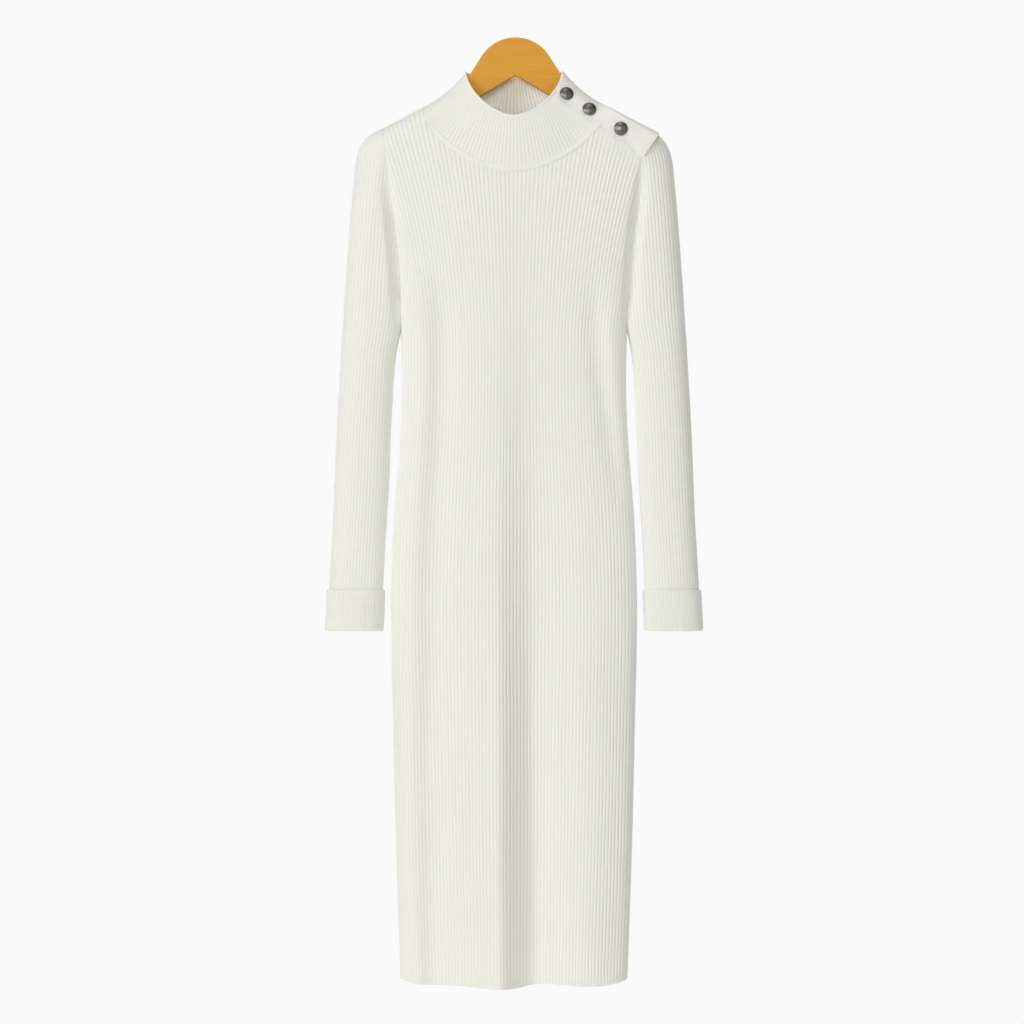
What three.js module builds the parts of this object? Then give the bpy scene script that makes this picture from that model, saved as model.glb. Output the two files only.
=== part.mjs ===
import * as THREE from 'three';

// A long-sleeved, rib-knit sweater dress that hangs flat on a wooden hanger.
// Millimetres, +Z up, the front faces -Y and the wearer's left is +X.
// The origin is the top of the hanger, where the whole thing is held.

// Cloth
const WALL = 1.6; // between two ribs
const RIB_RISE = 0.9; // a rib over the grooves beside it
const SEAM_GAP = 0.3;
const HALF_GAP = SEAM_GAP / 2;
const EDGE_ERROR = 0.3; // how far the plain inside may cut a corner of its seam
const LONGEST_PICK = 8; // columns of the outside to one of the inside, at most
const INSIDE_SHARE = 0.992; // of the outside's width, along the shoulder and the neckline
const PANEL_RIBS = 68;
const SLEEVE_RIBS = 40;
const CUFF_RIBS = 36;
const COLLAR_FRONT_RIBS = 54;
const COLLAR_BACK_RIBS = 42;

// Shoulders
const SHOULDER_PEAK = -27; // where the two shoulder lines would meet over the neck
const SHOULDER_SLOPE = 0.526; // fall for each millimetre outwards
const SHOULDER_COS = 1 / Math.hypot(1, SHOULDER_SLOPE);
const SHOULDER_ROUND = 25; // radius over which the cloth turns from lying to hanging
const NECK_HALF = 113; // collar seam on the shoulder
const SHOULDER_HALF = 164; // armhole seam on the shoulder
const UNDERARM = -384;

// Body, by height: the half width that the ribs spread over, and the half depth.
const BODY = [
  { z: -1190, spread: 141, depth: 30 },
  { z: -1052, spread: 146, depth: 30 },
  { z: -852, spread: 151, depth: 29 },
  { z: -702, spread: 153.5, depth: 28 },
  { z: -602, spread: 150, depth: 26.5 },
  { z: -502, spread: 142.5, depth: 25 },
  { z: -440, spread: 140, depth: 24.5 },
  { z: -384, spread: 140.5, depth: 25 },
  { z: -352, spread: 143.5, depth: 25.5 },
  { z: -315, spread: 148, depth: 26 },
  { z: -252, spread: 160.5, depth: 27 },
  { z: -202, spread: 175.5, depth: 27 },
  { z: -159, spread: 191.5, depth: 26 },
  { z: -113, spread: 211, depth: 25 },
  { z: -80, spread: 224, depth: 24 },
];
const BODY_SQUARENESS = 3.5; // power of the rounded section
const BODY_TYPICAL = { half: 141, depth: 25 }; // the section that the ribs are spaced on
const ARMHOLE = [
  { z: -384, half: 140.5 },
  { z: -327, half: 142 },
  { z: -277, half: 144.8 },
  { z: -227, half: 150 },
  { z: -177, half: 157 },
  { z: -113, half: 164 },
];
const FRONT_HEM = [
  { x: -141, z: -1175 },
  { x: -128, z: -1178 },
  { x: -62, z: -1181 },
  { x: -25, z: -1184.5 },
  { x: 7, z: -1184 },
  { x: 30, z: -1180 },
  { x: 52, z: -1180 },
  { x: 85, z: -1182 },
  { x: 128, z: -1179 },
  { x: 141, z: -1175 },
];
const BACK_HEM = [
  { x: -141, z: -1175 },
  { x: -80, z: -1178 },
  { x: 0, z: -1176 },
  { x: 70, z: -1179 },
  { x: 141, z: -1175 },
];

// Long soft folds: place across as a share of the half width, breadth on either side in the
// same share, height of the ridge (a trough is negative), the heights between which it
// shows, the length over which it rises out of the plain cloth at each end, and how far it
// leans sideways for each metre down.
const PAST_HEM = -2200;
const FRONT_FOLDS = [
  { across: -0.18, left: 0.36, right: 0.135, rise: 10.4, from: -120, to: PAST_HEM, ease: 880, lean: 0.04 },
  { across: 0.13, left: 0.14, right: 0.3, rise: -9.6, from: -120, to: PAST_HEM, ease: 880, lean: 0.06 },
  { across: -0.82, left: 0.1, right: 0.1, rise: 3.6, from: -270, to: PAST_HEM, ease: 80, lean: -0.06 },
  { across: -0.62, left: 0.1, right: 0.14, rise: -3.8, from: -270, to: PAST_HEM, ease: 80, lean: -0.1 },
  { across: 0.62, left: 0.1, right: 0.1, rise: -4.4, from: -270, to: -620, ease: 110, lean: 1.0 },
  { across: 0.82, left: 0.1, right: 0.12, rise: 2.6, from: -270, to: -620, ease: 110, lean: 0.5 },
  { across: 0.62, left: 0.2, right: 0.2, rise: 3.4, from: -480, to: PAST_HEM, ease: 700, lean: 0 },
];
const BACK_FOLDS = [
  { across: -0.74, left: 0.1, right: 0.12, rise: -3.0, from: -320, to: PAST_HEM, ease: 500, lean: 0 },
  { across: -0.36, left: 0.2, right: 0.13, rise: 5.4, from: -420, to: PAST_HEM, ease: 670, lean: 0 },
  { across: 0, left: 0.14, right: 0.2, rise: -5.0, from: -400, to: PAST_HEM, ease: 700, lean: 0 },
  { across: 0.42, left: 0.2, right: 0.14, rise: 4.6, from: -520, to: PAST_HEM, ease: 630, lean: 0 },
  { across: 0.78, left: 0.09, right: 0.09, rise: -2.4, from: -300, to: -760, ease: 230, lean: 0 },
];

// Neckline: drop of the collar seam below the neck point, and how square its curve is.
const FRONT_NECK = { drop: 81.5, squareness: 1.75 };
const BACK_NECK = { drop: 26, squareness: 2 };

// Collar
const COLLAR_HEIGHT = 72;
const RIM_HALF = 60;
const RIM_SIDE = -42;
const FRONT_RIM = { drop: 57, squareness: 1.65, depth: 30 };
const BACK_RIM = { drop: 3, squareness: 2, depth: 22 };
const RIM_BLUNTNESS = 0.75; // of the rim's turn over each shoulder
const COLLAR_DIP = 4.5; // hollow of the collar's sides between seam and rim
const COLLAR_BELLY = 3; // fullness of its front and back
const LINKED_SEAM = 5; // height of the smooth raised band on the seam
const LINKED_RISE = 1;
const LINKED_FADE = 3; // over which the ribs rise above the linked seam
const ROLLED_RIM = { share: 0.97, sink: 0.3 }; // where the rim starts to turn in

// Sleeves, by height: outer and inner edge seen from the front, and half depth.
const SLEEVE = [
  { z: -740, outer: 233.5, inner: 166, depth: 17 },
  { z: -652, outer: 229, inner: 162, depth: 17.5 },
  { z: -602, outer: 226, inner: 159, depth: 18 },
  { z: -552, outer: 224, inner: 155.8, depth: 18.5 },
  { z: -502, outer: 222, inner: 154.2, depth: 19 },
  { z: -452, outer: 219.5, inner: 151.5, depth: 19.5 },
  { z: -410, outer: 217, inner: 147.5, depth: 20 },
  { z: -394, outer: 216.2, inner: 144.4, depth: 20 },
  { z: -384, outer: 215.5, inner: 140.8, depth: 20 },
  { z: -300, outer: 210, inner: 135.3, depth: 20.5 },
  { z: -252, outer: 206.5, inner: 131.8, depth: 21 },
  { z: -200, outer: 202.4, inner: 127.7, depth: 21 },
  { z: -177, outer: 200, inner: 125.3, depth: 21 },
  { z: -156, outer: 198, inner: 123.3, depth: 20.5 },
  { z: -142, outer: 194.5, inner: 119.8, depth: 20 },
  { z: -132, outer: 190, inner: 115.3, depth: 19.5 },
  { z: -122, outer: 181, inner: 106.3, depth: 18.5 },
  { z: -113, outer: 164, inner: 89.3, depth: 17.5 },
];
const SLEEVE_SQUARENESS = 2.4;
const SLEEVE_TYPICAL = { half: 34, depth: 19 };
const SLEEVE_END = -739;
const SEAM_EASE = 60; // below the armhole seam the sleeve takes its own section over this

// Turned-back cuffs
const CUFF_TOP = -689.5;
const CUFF_FOLD = 2; // below the sleeve's end
const CUFF_WALL = 1.4;
const CUFF_RIB_RISE = 0.6;
const CUFF_TYPICAL = { half: 36, depth: 19.5 };
const CUFF_EASE = 0.5; // between the cuff and the ribs it is turned over
const CUFF_LIP = { height: 1.5, thinner: 0.4 }; // its bound upper edge
const CUFF_TURN = { height: 2.5, inwards: 1.2 }; // its folded lower edge

// Shoulder placket: a smooth band from the collar's rim to past the armhole, over its stand.
const BAND_WIDTH = 43;
const BAND_WALL = 2.4;
const STAND_WALL = 1.8;
const BAND_CLEAR = 1.9; // from the groove level to the stand, over the ribs
const BAND_BELOW_RIM = 1;
const BAND_END = { topX: 182, topZ: -121.5, lowX: 162, lowZ: -151 };
const STAND_SHARE = 0.62; // of the shoulder stretch that the hidden stand reaches
const BAND_ROWS_ON_COLLAR = 5;
const BAND_ROWS_ON_SHOULDER = 8;
const BAND_COLUMNS = [0, 0.08, 0.2, 0.36, 0.55, 0.78, 1];

// Domed snap caps, by the place of each centre on the front view.
const SNAPS = [
  { name: 'snap_1', x: 65, z: -72.5 },
  { name: 'snap_2', x: 94.2, z: -91 },
  { name: 'snap_3', x: 133.5, z: -113.8 },
];
const SNAP_RADIUS = 8.7;
const SNAP_SIDES = 16;
// Each ring of a cap, by its share of the radius and its height over the cloth.
const SNAP_PROFILE = [
  { share: 0, height: 0 },
  { share: 0.9, height: 0 },
  { share: 1, height: 0.9 },
  { share: 0.93, height: 1.9 },
  { share: 0.72, height: 3.2 },
  { share: 0.38, height: 3.95 },
  { share: 0, height: 4.2 },
];
const SNAP_REACH = 1.3; // radii over which the cloth under a cap is felt for

// Hanger: a flat board. Its top edge up to where it runs along under the shoulders.
const HANGER_THICK = 12;
const HANGER_BEVEL = 2;
const HANGER_DROP = 4.1; // below the shoulder line
const HANGER_TIP = 157;
const HANGER_TOP = [
  { x: 0, z: 0 },
  { x: 12.9, z: -1.7 },
  { x: 25, z: -6.7 },
  { x: 35.4, z: -14.6 },
  { x: 43.3, z: -25 },
  { x: 47.7, z: -31.8 },
  { x: 52.3, z: -39 },
  { x: 57, z: -46.4 },
  { x: 60.5, z: -51.6 },
  { x: 64.5, z: -57 },
  { x: 71, z: -65 },
  { x: 80, z: -74 },
  { x: 92, z: -82.5 },
  { x: 106, z: -90 },
  { x: 124, z: -96.4 },
];
const HANGER_NOTCH = { z: -46, blunt: 1, half: 5 }; // top of the inverted V underneath
const HANGER_UNDER_SLOPE = 0.594;
// The rounded tip: each point by its way in from the tip and its drop below the top edge.
const HANGER_END = [
  { inset: 4, drop: -1.7 },
  { inset: 0, drop: 4 },
  { inset: 1, drop: 17 },
];
const HANGER_UNDER_INSET = 9; // from the tip to the end of the straight underside

const { clamp, lerp, smoothstep } = THREE.MathUtils;
const HALVINGS = 50; // of a search for the height of an edge
const FINE_STEPS = 400; // along a curve whose length is measured

// A smooth curve through the rows of a table, from one named column to another.
function curve(rows, from, to) {
  const sorted = [...rows].sort((a, b) => a[from] - b[from]);
  const places = sorted.map((row) => row[from]);
  const values = sorted.map((row) => row[to]);
  const through = new THREE.CubicInterpolant(places, values, 1);
  const last = places[places.length - 1];
  return (place) => through.evaluate(clamp(place, places[0], last))[0];
}

const bodySpread = curve(BODY, 'z', 'spread');
const bodyDepth = curve(BODY, 'z', 'depth');
const armholeHalf = curve(ARMHOLE, 'z', 'half');
const sleeveOuter = curve(SLEEVE, 'z', 'outer');
const sleeveInner = curve(SLEEVE, 'z', 'inner');
const sleeveDepth = curve(SLEEVE, 'z', 'depth');
const shoulderZ = (x) => SHOULDER_PEAK - SHOULDER_SLOPE * Math.abs(x);

// Height of a neckline or rim at x: a rounded sag between two points at the same height.
function sag(x, half, side, shape) {
  const share = Math.min(Math.abs(x) / half, 1);
  return side - shape.drop * (1 - share ** shape.squareness) ** (1 / shape.squareness);
}

// Half of a rounded flat section, from one edge over the middle to the other: stations
// evenly spaced along it, each with its share of the half width and of the half depth.
function halfSection(halfWidth, depth, squareness, steps) {
  const fine = steps * 60; // parts of the curve that the stations are spaced along
  const path = [];
  for (let i = 0; i <= fine; i += 1) {
    const angle = (Math.PI * i) / fine;
    const across = -Math.sign(Math.cos(angle)) * Math.abs(Math.cos(angle)) ** (2 / squareness);
    const out = Math.max(Math.sin(angle), 0) ** (2 / squareness);
    const last = path[path.length - 1];
    const step = last ? Math.hypot((across - last.across) * halfWidth, (out - last.out) * depth) : 0;
    path.push({ across, out, along: (last ? last.along : 0) + step });
  }
  const total = path[fine].along;
  const stations = [];
  for (let i = 0, k = 0; i <= steps; i += 1) {
    const along = (total * i) / steps;
    while (k < fine - 1 && path[k + 1].along < along) k += 1;
    const part = clamp((along - path[k].along) / (path[k + 1].along - path[k].along), 0, 1);
    stations.push({
      across: lerp(path[k].across, path[k + 1].across, part),
      out: i === 0 || i === steps ? 0 : lerp(path[k].out, path[k + 1].out, part),
      rib: i % 2,
    });
  }
  return stations;
}

// The columns of the outside that the plain inside follows: as few as keep near the edge.
function pickColumns(edge) {
  const picks = [0];
  const segment = new THREE.Line3();
  const nearest = new THREE.Vector3();
  const strays = (from, to) => {
    segment.set(edge[from], edge[to]);
    return edge.slice(from + 1, to).some((point) => {
      segment.closestPointToPoint(point, true, nearest);
      return nearest.distanceTo(point) > EDGE_ERROR;
    });
  };
  while (picks[picks.length - 1] < edge.length - 1) {
    const from = picks[picks.length - 1];
    let to = from + 1;
    while (to < edge.length - 1 && to - from < LONGEST_PICK && !strays(from, to + 1)) to += 1;
    picks.push(to);
  }
  return picks;
}

// A closed wall between an outside grid and a plainer inside grid of rows of points. The
// inside has a column at each picked column of the outside. A tube's last column is its
// first, and an open panel gets rims down its two sides as well.
function wall(name, outer, inner, picks, isTube, material) {
  const positions = [];
  const index = (grid) => grid.map((row) => row.map((point) => positions.push(...point) / 3 - 1));
  const closeUp = (row) => (isTube ? [...row, row[0]] : row);
  const out = index(outer).map(closeUp);
  const ins = index(inner).map(closeUp);
  const triangles = [];
  for (let i = 0; i < out.length - 1; i += 1) {
    for (let j = 0; j < out[i].length - 1; j += 1) {
      triangles.push([out[i][j], out[i + 1][j], out[i + 1][j + 1]]);
      triangles.push([out[i][j], out[i + 1][j + 1], out[i][j + 1]]);
    }
  }
  for (let i = 0; i < ins.length - 1; i += 1) {
    for (let j = 0; j < ins[i].length - 1; j += 1) {
      triangles.push([ins[i][j], ins[i + 1][j + 1], ins[i + 1][j]]);
      triangles.push([ins[i][j], ins[i][j + 1], ins[i + 1][j + 1]]);
    }
  }
  const rim = (outRow, inRow, isTop) => {
    const add = (a, b, c) => triangles.push(isTop ? [a, b, c] : [b, a, c]);
    for (let p = 0; p < inRow.length - 1; p += 1) {
      const middle = Math.floor((picks[p] + picks[p + 1]) / 2);
      for (let j = picks[p]; j < picks[p + 1]; j += 1) {
        add(outRow[j], outRow[j + 1], inRow[j < middle ? p : p + 1]);
      }
      add(inRow[p + 1], inRow[p], outRow[middle]);
    }
  };
  rim(out[0], ins[0], true);
  rim(out[out.length - 1], ins[ins.length - 1], false);
  if (!isTube) {
    for (let i = 0; i < out.length - 1; i += 1) {
      const [o, q] = [out[i], out[i + 1]];
      const [n, m] = [ins[i], ins[i + 1]];
      triangles.push([q[0], o[0], n[0]], [q[0], n[0], m[0]]);
      const [oEnd, qEnd] = [o[o.length - 1], q[q.length - 1]];
      const [nEnd, mEnd] = [n[n.length - 1], m[m.length - 1]];
      triangles.push([oEnd, qEnd, mEnd], [oEnd, mEnd, nEnd]);
    }
  }
  const geometry = new THREE.BufferGeometry();
  geometry.setAttribute('position', new THREE.Float32BufferAttribute(positions, 3));
  geometry.setIndex((volumeOf(positions, triangles) < 0 ? triangles.map(turned) : triangles).flat());
  geometry.computeVertexNormals();
  const mesh = new THREE.Mesh(geometry, material);
  mesh.name = name;
  return mesh;
}

const turned = ([a, b, c]) => [a, c, b];

function volumeOf(positions, triangles) {
  const point = (i) => new THREE.Vector3().fromArray(positions, i * 3);
  return triangles.reduce((sum, [a, b, c]) => sum + point(a).dot(point(b).cross(point(c))), 0);
}

// How the cloth lies at a place on the front view: 1 flat over the shoulder, 0 hanging.
function lyingShare(x, z) {
  const below = (shoulderZ(x) - z) * SHOULDER_COS;
  return clamp(1 - below / SHOULDER_ROUND, 0, 1);
}

function foldRise(side, across, z) {
  const folds = side < 0 ? FRONT_FOLDS : BACK_FOLDS;
  return folds.reduce((sum, fold) => {
    const along = smoothstep(fold.from - z, 0, fold.ease) * smoothstep(z - fold.to, 0, fold.ease);
    const place = fold.across + (fold.lean * (fold.from - z)) / 1000;
    const breadth = across < place ? fold.left : fold.right;
    return sum + fold.rise * along * Math.exp(-(((across - place) / breadth) ** 2));
  }, 0);
}

// Depth of the body's cloth from the middle plane, for the groove level.
function bodyReach(side, station, x, z, proud) {
  const hanging = Math.sqrt(1 - lyingShare(x, z) ** 2);
  const full = bodyDepth(z) + proud + foldRise(side, station.across, z);
  return HALF_GAP + full * station.out * hanging;
}

function bodyPoint(side, station, z, proud) {
  const x = station.across * bodySpread(z);
  return new THREE.Vector3(
    x + station.across * proud,
    side * bodyReach(side, station, x, z, proud),
    z + (proud * lyingShare(x, z)) / SHOULDER_COS,
  );
}

// Where each column of a panel ends at the top: on the armhole, the shoulder or the neck.
function columnTops(stations, neck) {
  const neckPoint = shoulderZ(NECK_HALF);
  const isCloth = (x, z) => {
    if (z > UNDERARM && Math.abs(x) > armholeHalf(z)) return false;
    if (z > shoulderZ(x)) return false;
    return Math.abs(x) >= NECK_HALF || z <= sag(x, NECK_HALF, neckPoint, neck);
  };
  const tops = stations.map((station) => {
    let low = UNDERARM;
    let high = SHOULDER_PEAK;
    for (let i = 0; i < HALVINGS; i += 1) {
      const z = (low + high) / 2;
      if (isCloth(station.across * bodySpread(z), z)) low = z;
      else high = z;
    }
    return { x: station.across * bodySpread(low), z: low };
  });
  const corners = {};
  for (const [corner, x] of [
    ['shoulderRight', -SHOULDER_HALF], ['neckRight', -NECK_HALF],
    ['neckLeft', NECK_HALF], ['shoulderLeft', SHOULDER_HALF],
  ]) {
    const z = shoulderZ(x);
    const gaps = tops.map((top) => Math.hypot(top.x - x, top.z - z));
    corners[corner] = gaps.indexOf(Math.min(...gaps));
    tops[corners[corner]] = { x, z };
  }
  return { tops, corners };
}

// Drops below the top of a column, then shares of the rest of the way to the hem.
const NEAR_ROWS = [0, 4, 10, 28];
const FAR_ROWS = [0.08, 0.17, 0.28, 0.42, 0.6, 0.8, 1];
const FLAT_MARGIN = 4; // beside a seam the ribs are pressed flat

function rowHeights(top, bottom, near, far) {
  const last = top - near[near.length - 1];
  return [...near.map((drop) => top - drop), ...far.map((share) => lerp(last, bottom, share))];
}

// In the armhole's own plane, the way from a point of its edge to the inside of the ring.
function ringInwards(before, after, point, middle) {
  const normal = new THREE.Vector3(0, after.z - before.z, before.y - after.y).normalize();
  const toMiddle = new THREE.Vector3(0, -point.y, middle - point.z);
  return normal.dot(toMiddle) < 0 ? normal.negate() : normal;
}

const bodyStations = halfSection(
  BODY_TYPICAL.half, BODY_TYPICAL.depth, BODY_SQUARENESS, PANEL_RIBS * 2);

function makePanel(name, side, neck, hem, material) {
  const { tops, corners } = columnTops(bodyStations, neck);
  const hemZ = curve(hem, 'x', 'z');
  const count = bodyStations.length;
  const edge = tops.map((top, j) => new THREE.Vector3(
    top.x, side * bodyReach(side, bodyStations[j], top.x, top.z, 0), top.z));
  const ringMiddle = (UNDERARM + shoulderZ(SHOULDER_HALF)) / 2;
  const mirrored = (point) => new THREE.Vector3(point.x, -point.y, point.z);
  const edgeInside = edge.map((point, j) => {
    const onRing = j <= corners.shoulderRight || j >= corners.shoulderLeft;
    if (!onRing) {
      return bodyPoint(side, bodyStations[j], point.z, -WALL).setX(point.x * INSIDE_SHARE);
    }
    const isEnd = (k) => k < 0 || k > count - 1
      || (k > corners.shoulderRight && k < corners.shoulderLeft);
    const before = isEnd(j - 1) ? mirrored(edge[j + 1]) : edge[j - 1];
    const after = isEnd(j + 1) ? mirrored(edge[j - 1]) : edge[j + 1];
    return point.clone().addScaledVector(ringInwards(before, after, point, ringMiddle), WALL);
  });
  const picks = pickColumns(edge);
  const heights = tops.map((top, j) => {
    const bottom = hemZ(bodyStations[j].across * bodySpread(FRONT_HEM[0].z));
    return rowHeights(top.z, bottom, NEAR_ROWS, FAR_ROWS);
  });
  const rows = heights[0].map((_, i) => i);
  const outer = rows.map((i) => bodyStations.map((station, j) => {
    if (i === 0) return edge[j];
    const isFlat = tops[j].z - heights[j][i] <= FLAT_MARGIN;
    return bodyPoint(side, station, heights[j][i], isFlat ? 0 : station.rib * RIB_RISE);
  }));
  const inner = rows.map((i) => picks.map((j) => (
    i === 0 ? edgeInside[j] : bodyPoint(side, bodyStations[j], heights[j][i], -WALL))));
  const seam = { edge, inside: picks.map((j) => edgeInside[j]), picks, corners };
  return { mesh: wall(name, outer, inner, picks, false, material), seam };
}

// A place on a panel's top edge, by column number and part of a column, on its outside
// and on its plainer inside.
function seamAt(seam, place) {
  const j = clamp(Math.floor(place), 0, seam.edge.length - 2);
  const outer = seam.edge[j].clone().lerp(seam.edge[j + 1], place - j);
  let p = seam.picks.findIndex((pick) => pick > place) - 1;
  if (p < 0) p = seam.picks.length - 2;
  const part = (place - seam.picks[p]) / (seam.picks[p + 1] - seam.picks[p]);
  return { outer, inner: seam.inside[p].clone().lerp(seam.inside[p + 1], part) };
}

// The place on a stretch of the edge at a share of its length.
function seamPlace(seam, from, to, share) {
  const lengths = [0];
  for (let j = from; j < to; j += 1) {
    lengths.push(lengths[lengths.length - 1] + seam.edge[j].distanceTo(seam.edge[j + 1]));
  }
  const target = share * lengths[lengths.length - 1];
  let k = 0;
  while (k < lengths.length - 2 && lengths[k + 1] < target) k += 1;
  return from + k + clamp((target - lengths[k]) / (lengths[k + 1] - lengths[k]), 0, 1);
}

// The place on an armhole edge at a height.
function armholePlace(seam, isLeft, z) {
  const from = isLeft ? seam.corners.shoulderLeft : 0;
  const to = isLeft ? seam.edge.length - 1 : seam.corners.shoulderRight;
  for (let j = from; j < to; j += 1) {
    const [a, b] = [seam.edge[j].z, seam.edge[j + 1].z];
    if ((a - z) * (b - z) <= 0 && a !== b) return j + (z - a) / (b - a);
  }
  return isLeft === z > UNDERARM ? from : to;
}

function sleevePoint(hand, station, z, proud) {
  const half = (sleeveOuter(z) - sleeveInner(z)) / 2;
  const slope = (sleeveOuter(z + 2) - sleeveOuter(z - 2)) / 4;
  const lean = station.across > 0 ? Math.hypot(1, slope) : 1;
  const x = sleeveOuter(z) - half + station.across * (half + proud / lean);
  const y = station.side * station.out * (sleeveDepth(z) + proud);
  const rise = station.across > 0 ? (-slope / lean) * station.across * proud : 0;
  return new THREE.Vector3(hand * x, y, z + rise);
}

// A closed section round a sleeve, from its outer fold over the front and round the back.
function tubeSection(halfWidth, depth, squareness, ribs) {
  const half = halfSection(halfWidth, depth, squareness, ribs);
  const front = [...half].reverse().slice(0, ribs).map((s) => ({ ...s, side: -1 }));
  const back = half.slice(0, ribs).map((s) => ({ ...s, side: 1 }));
  return [...front, ...back].map((s, i) => ({ ...s, rib: i % 2 }));
}

const SLEEVE_NEAR_ROWS = [0, 4, 10, 24, 60];
const SLEEVE_FAR_ROWS = [0.3, 0.75, 1];

function makeSleeve(name, hand, front, back, material) {
  const { half, depth } = SLEEVE_TYPICAL;
  const stations = tubeSection(half, depth, SLEEVE_SQUARENESS, SLEEVE_RIBS);
  const shoulder = shoulderZ(SHOULDER_HALF);
  const tops = stations.map((station) => {
    if (station.across > 1 - 1e-6) return shoulder;
    if (station.across < -1 + 1e-6) return UNDERARM;
    let low = UNDERARM;
    let high = shoulder;
    for (let i = 0; i < HALVINGS; i += 1) {
      const z = (low + high) / 2;
      if (sleevePoint(1, station, z, 0).x > armholeHalf(z) + SEAM_GAP) low = z;
      else high = z;
    }
    return low;
  });
  const seams = stations.map((station, k) => {
    const panel = station.side < 0 ? front : back;
    const at = seamAt(panel, armholePlace(panel, hand > 0, tops[k]));
    for (const point of [at.outer, at.inner]) {
      point.x += hand * SEAM_GAP;
      if (station.out === 0) point.y = 0;
    }
    return at;
  });
  const picks = pickColumns([...seams.map((at) => at.outer), seams[0].outer]);
  const heights = tops.map((top) => (
    rowHeights(top, SLEEVE_END, SLEEVE_NEAR_ROWS, SLEEVE_FAR_ROWS)));
  const eased = (k, z, proud) => {
    const point = sleevePoint(hand, stations[k], z, proud);
    const shift = seams[k].outer.clone().sub(sleevePoint(hand, stations[k], tops[k], 0));
    const share = clamp(1 - (tops[k] - z) / SEAM_EASE, 0, 1) ** 2;
    return point.addScaledVector(shift, share);
  };
  const rows = heights[0].map((_, i) => i);
  const outer = rows.map((i) => stations.map((station, k) => {
    if (i === 0) return seams[k].outer;
    const isFlat = tops[k] - heights[k][i] <= FLAT_MARGIN;
    return eased(k, heights[k][i], isFlat ? 0 : station.rib * RIB_RISE);
  }));
  const inner = rows.map((i) => picks.slice(0, -1).map((k) => (
    i === 0 ? seams[k].inner : eased(k, heights[k][i], -WALL))));
  return wall(name, outer, inner, picks, true, material);
}

// A cuff turned up over the sleeve's end: its wall stands off the sleeve's ribs and its
// folded edge closes under the end.
function makeCuff(name, hand, material) {
  const stations = tubeSection(CUFF_TYPICAL.half, CUFF_TYPICAL.depth, SLEEVE_SQUARENESS, CUFF_RIBS);
  const clear = RIB_RISE + CUFF_EASE;
  const bottom = SLEEVE_END - CUFF_FOLD;
  const ring = (z, stand, rise) => stations.map((s) => {
    const point = sleevePoint(hand, s, z, stand + s.rib * rise);
    return point.setZ(z);
  });
  const outer = [
    ring(CUFF_TOP, clear + CUFF_WALL - CUFF_LIP.thinner, 0),
    ring(CUFF_TOP - CUFF_LIP.height, clear + CUFF_WALL, CUFF_RIB_RISE),
    ring(bottom + CUFF_TURN.height, clear + CUFF_WALL, CUFF_RIB_RISE),
    ring(bottom, clear + CUFF_WALL - CUFF_TURN.inwards, 0),
    ring(bottom, -WALL, 0),
  ];
  const picks = pickColumns([...outer[0], outer[0][0]]);
  const picked = (row) => picks.slice(0, -1).map((k) => row[k]);
  const inner = [
    picked(ring(CUFF_TOP, clear, 0)),
    picked(ring(SLEEVE_END - SEAM_GAP, clear, 0)),
    picked(ring(SLEEVE_END - SEAM_GAP, -WALL, 0)),
  ];
  return wall(name, outer, inner, picks, true, material);
}

// The collar's rim at a share of the half turn from the wearer's right to the left.
function rimPoint(side, share) {
  const shape = side < 0 ? FRONT_RIM : BACK_RIM;
  const angle = Math.PI * share;
  const x = -RIM_HALF * Math.cos(angle);
  const z = sag(x, RIM_HALF, RIM_SIDE, shape);
  const y = side * shape.depth * Math.max(Math.sin(angle), 0) ** RIM_BLUNTNESS;
  return new THREE.Vector3(x, y, z);
}

// The same rim at a share of its length.
function makeRim(side) {
  const edge = Array.from({ length: FINE_STEPS + 1 }, (_, i) => rimPoint(side, i / FINE_STEPS));
  return (share) => rimPoint(side, seamPlace({ edge }, 0, FINE_STEPS, share) / FINE_STEPS);
}

const NEARBY = 0.01; // share of the collar's length to the next place that is looked at

// The collar as a smooth surface over one panel's neckline.
function collarSurface(side, seam) {
  const rim = makeRim(side);
  const { neckRight, neckLeft } = seam.corners;
  const foot = (share) => seamAt(seam, seamPlace(seam, neckRight, neckLeft, share));
  const column = (share) => {
    const base = foot(share);
    const top = rim(share);
    const [from, to] = [Math.max(share - NEARBY, 0), Math.min(share + NEARBY, 1)];
    const along = rim(to).sub(rim(from)).add(foot(to).outer.sub(foot(from).outer));
    const up = top.clone().sub(base.outer);
    if (share <= 0 || share >= 1) {
      along.set(0, along.y, 0);
      base.outer.y = 0;
      base.inner.y = 0;
      top.y = 0;
      up.y = 0;
    }
    const out = along.cross(up).normalize();
    if (out.y * side < 0 || (Math.abs(out.y) < 1e-6 && out.z < 0)) out.negate();
    const lift = up.clone().normalize().multiplyScalar(SEAM_GAP);
    base.outer.add(lift);
    base.inner.add(lift);
    return { base, top, out };
  };
  const point = (share, height, proud) => {
    const { base, top, out } = column(share);
    const sideways = Math.abs(2 * share - 1) ** 3;
    const bow = lerp(COLLAR_BELLY, -COLLAR_DIP, sideways) * 4 * height * (1 - height);
    return base.outer.lerp(top, height).addScaledVector(out, bow + proud);
  };
  const length = (height) => {
    let sum = 0;
    for (let share = 0; share < 1 - NEARBY / 2; share += NEARBY) {
      sum += point(share, height, 0).distanceTo(point(share + NEARBY, height, 0));
    }
    return sum;
  };
  return { point, column, length };
}

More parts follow.
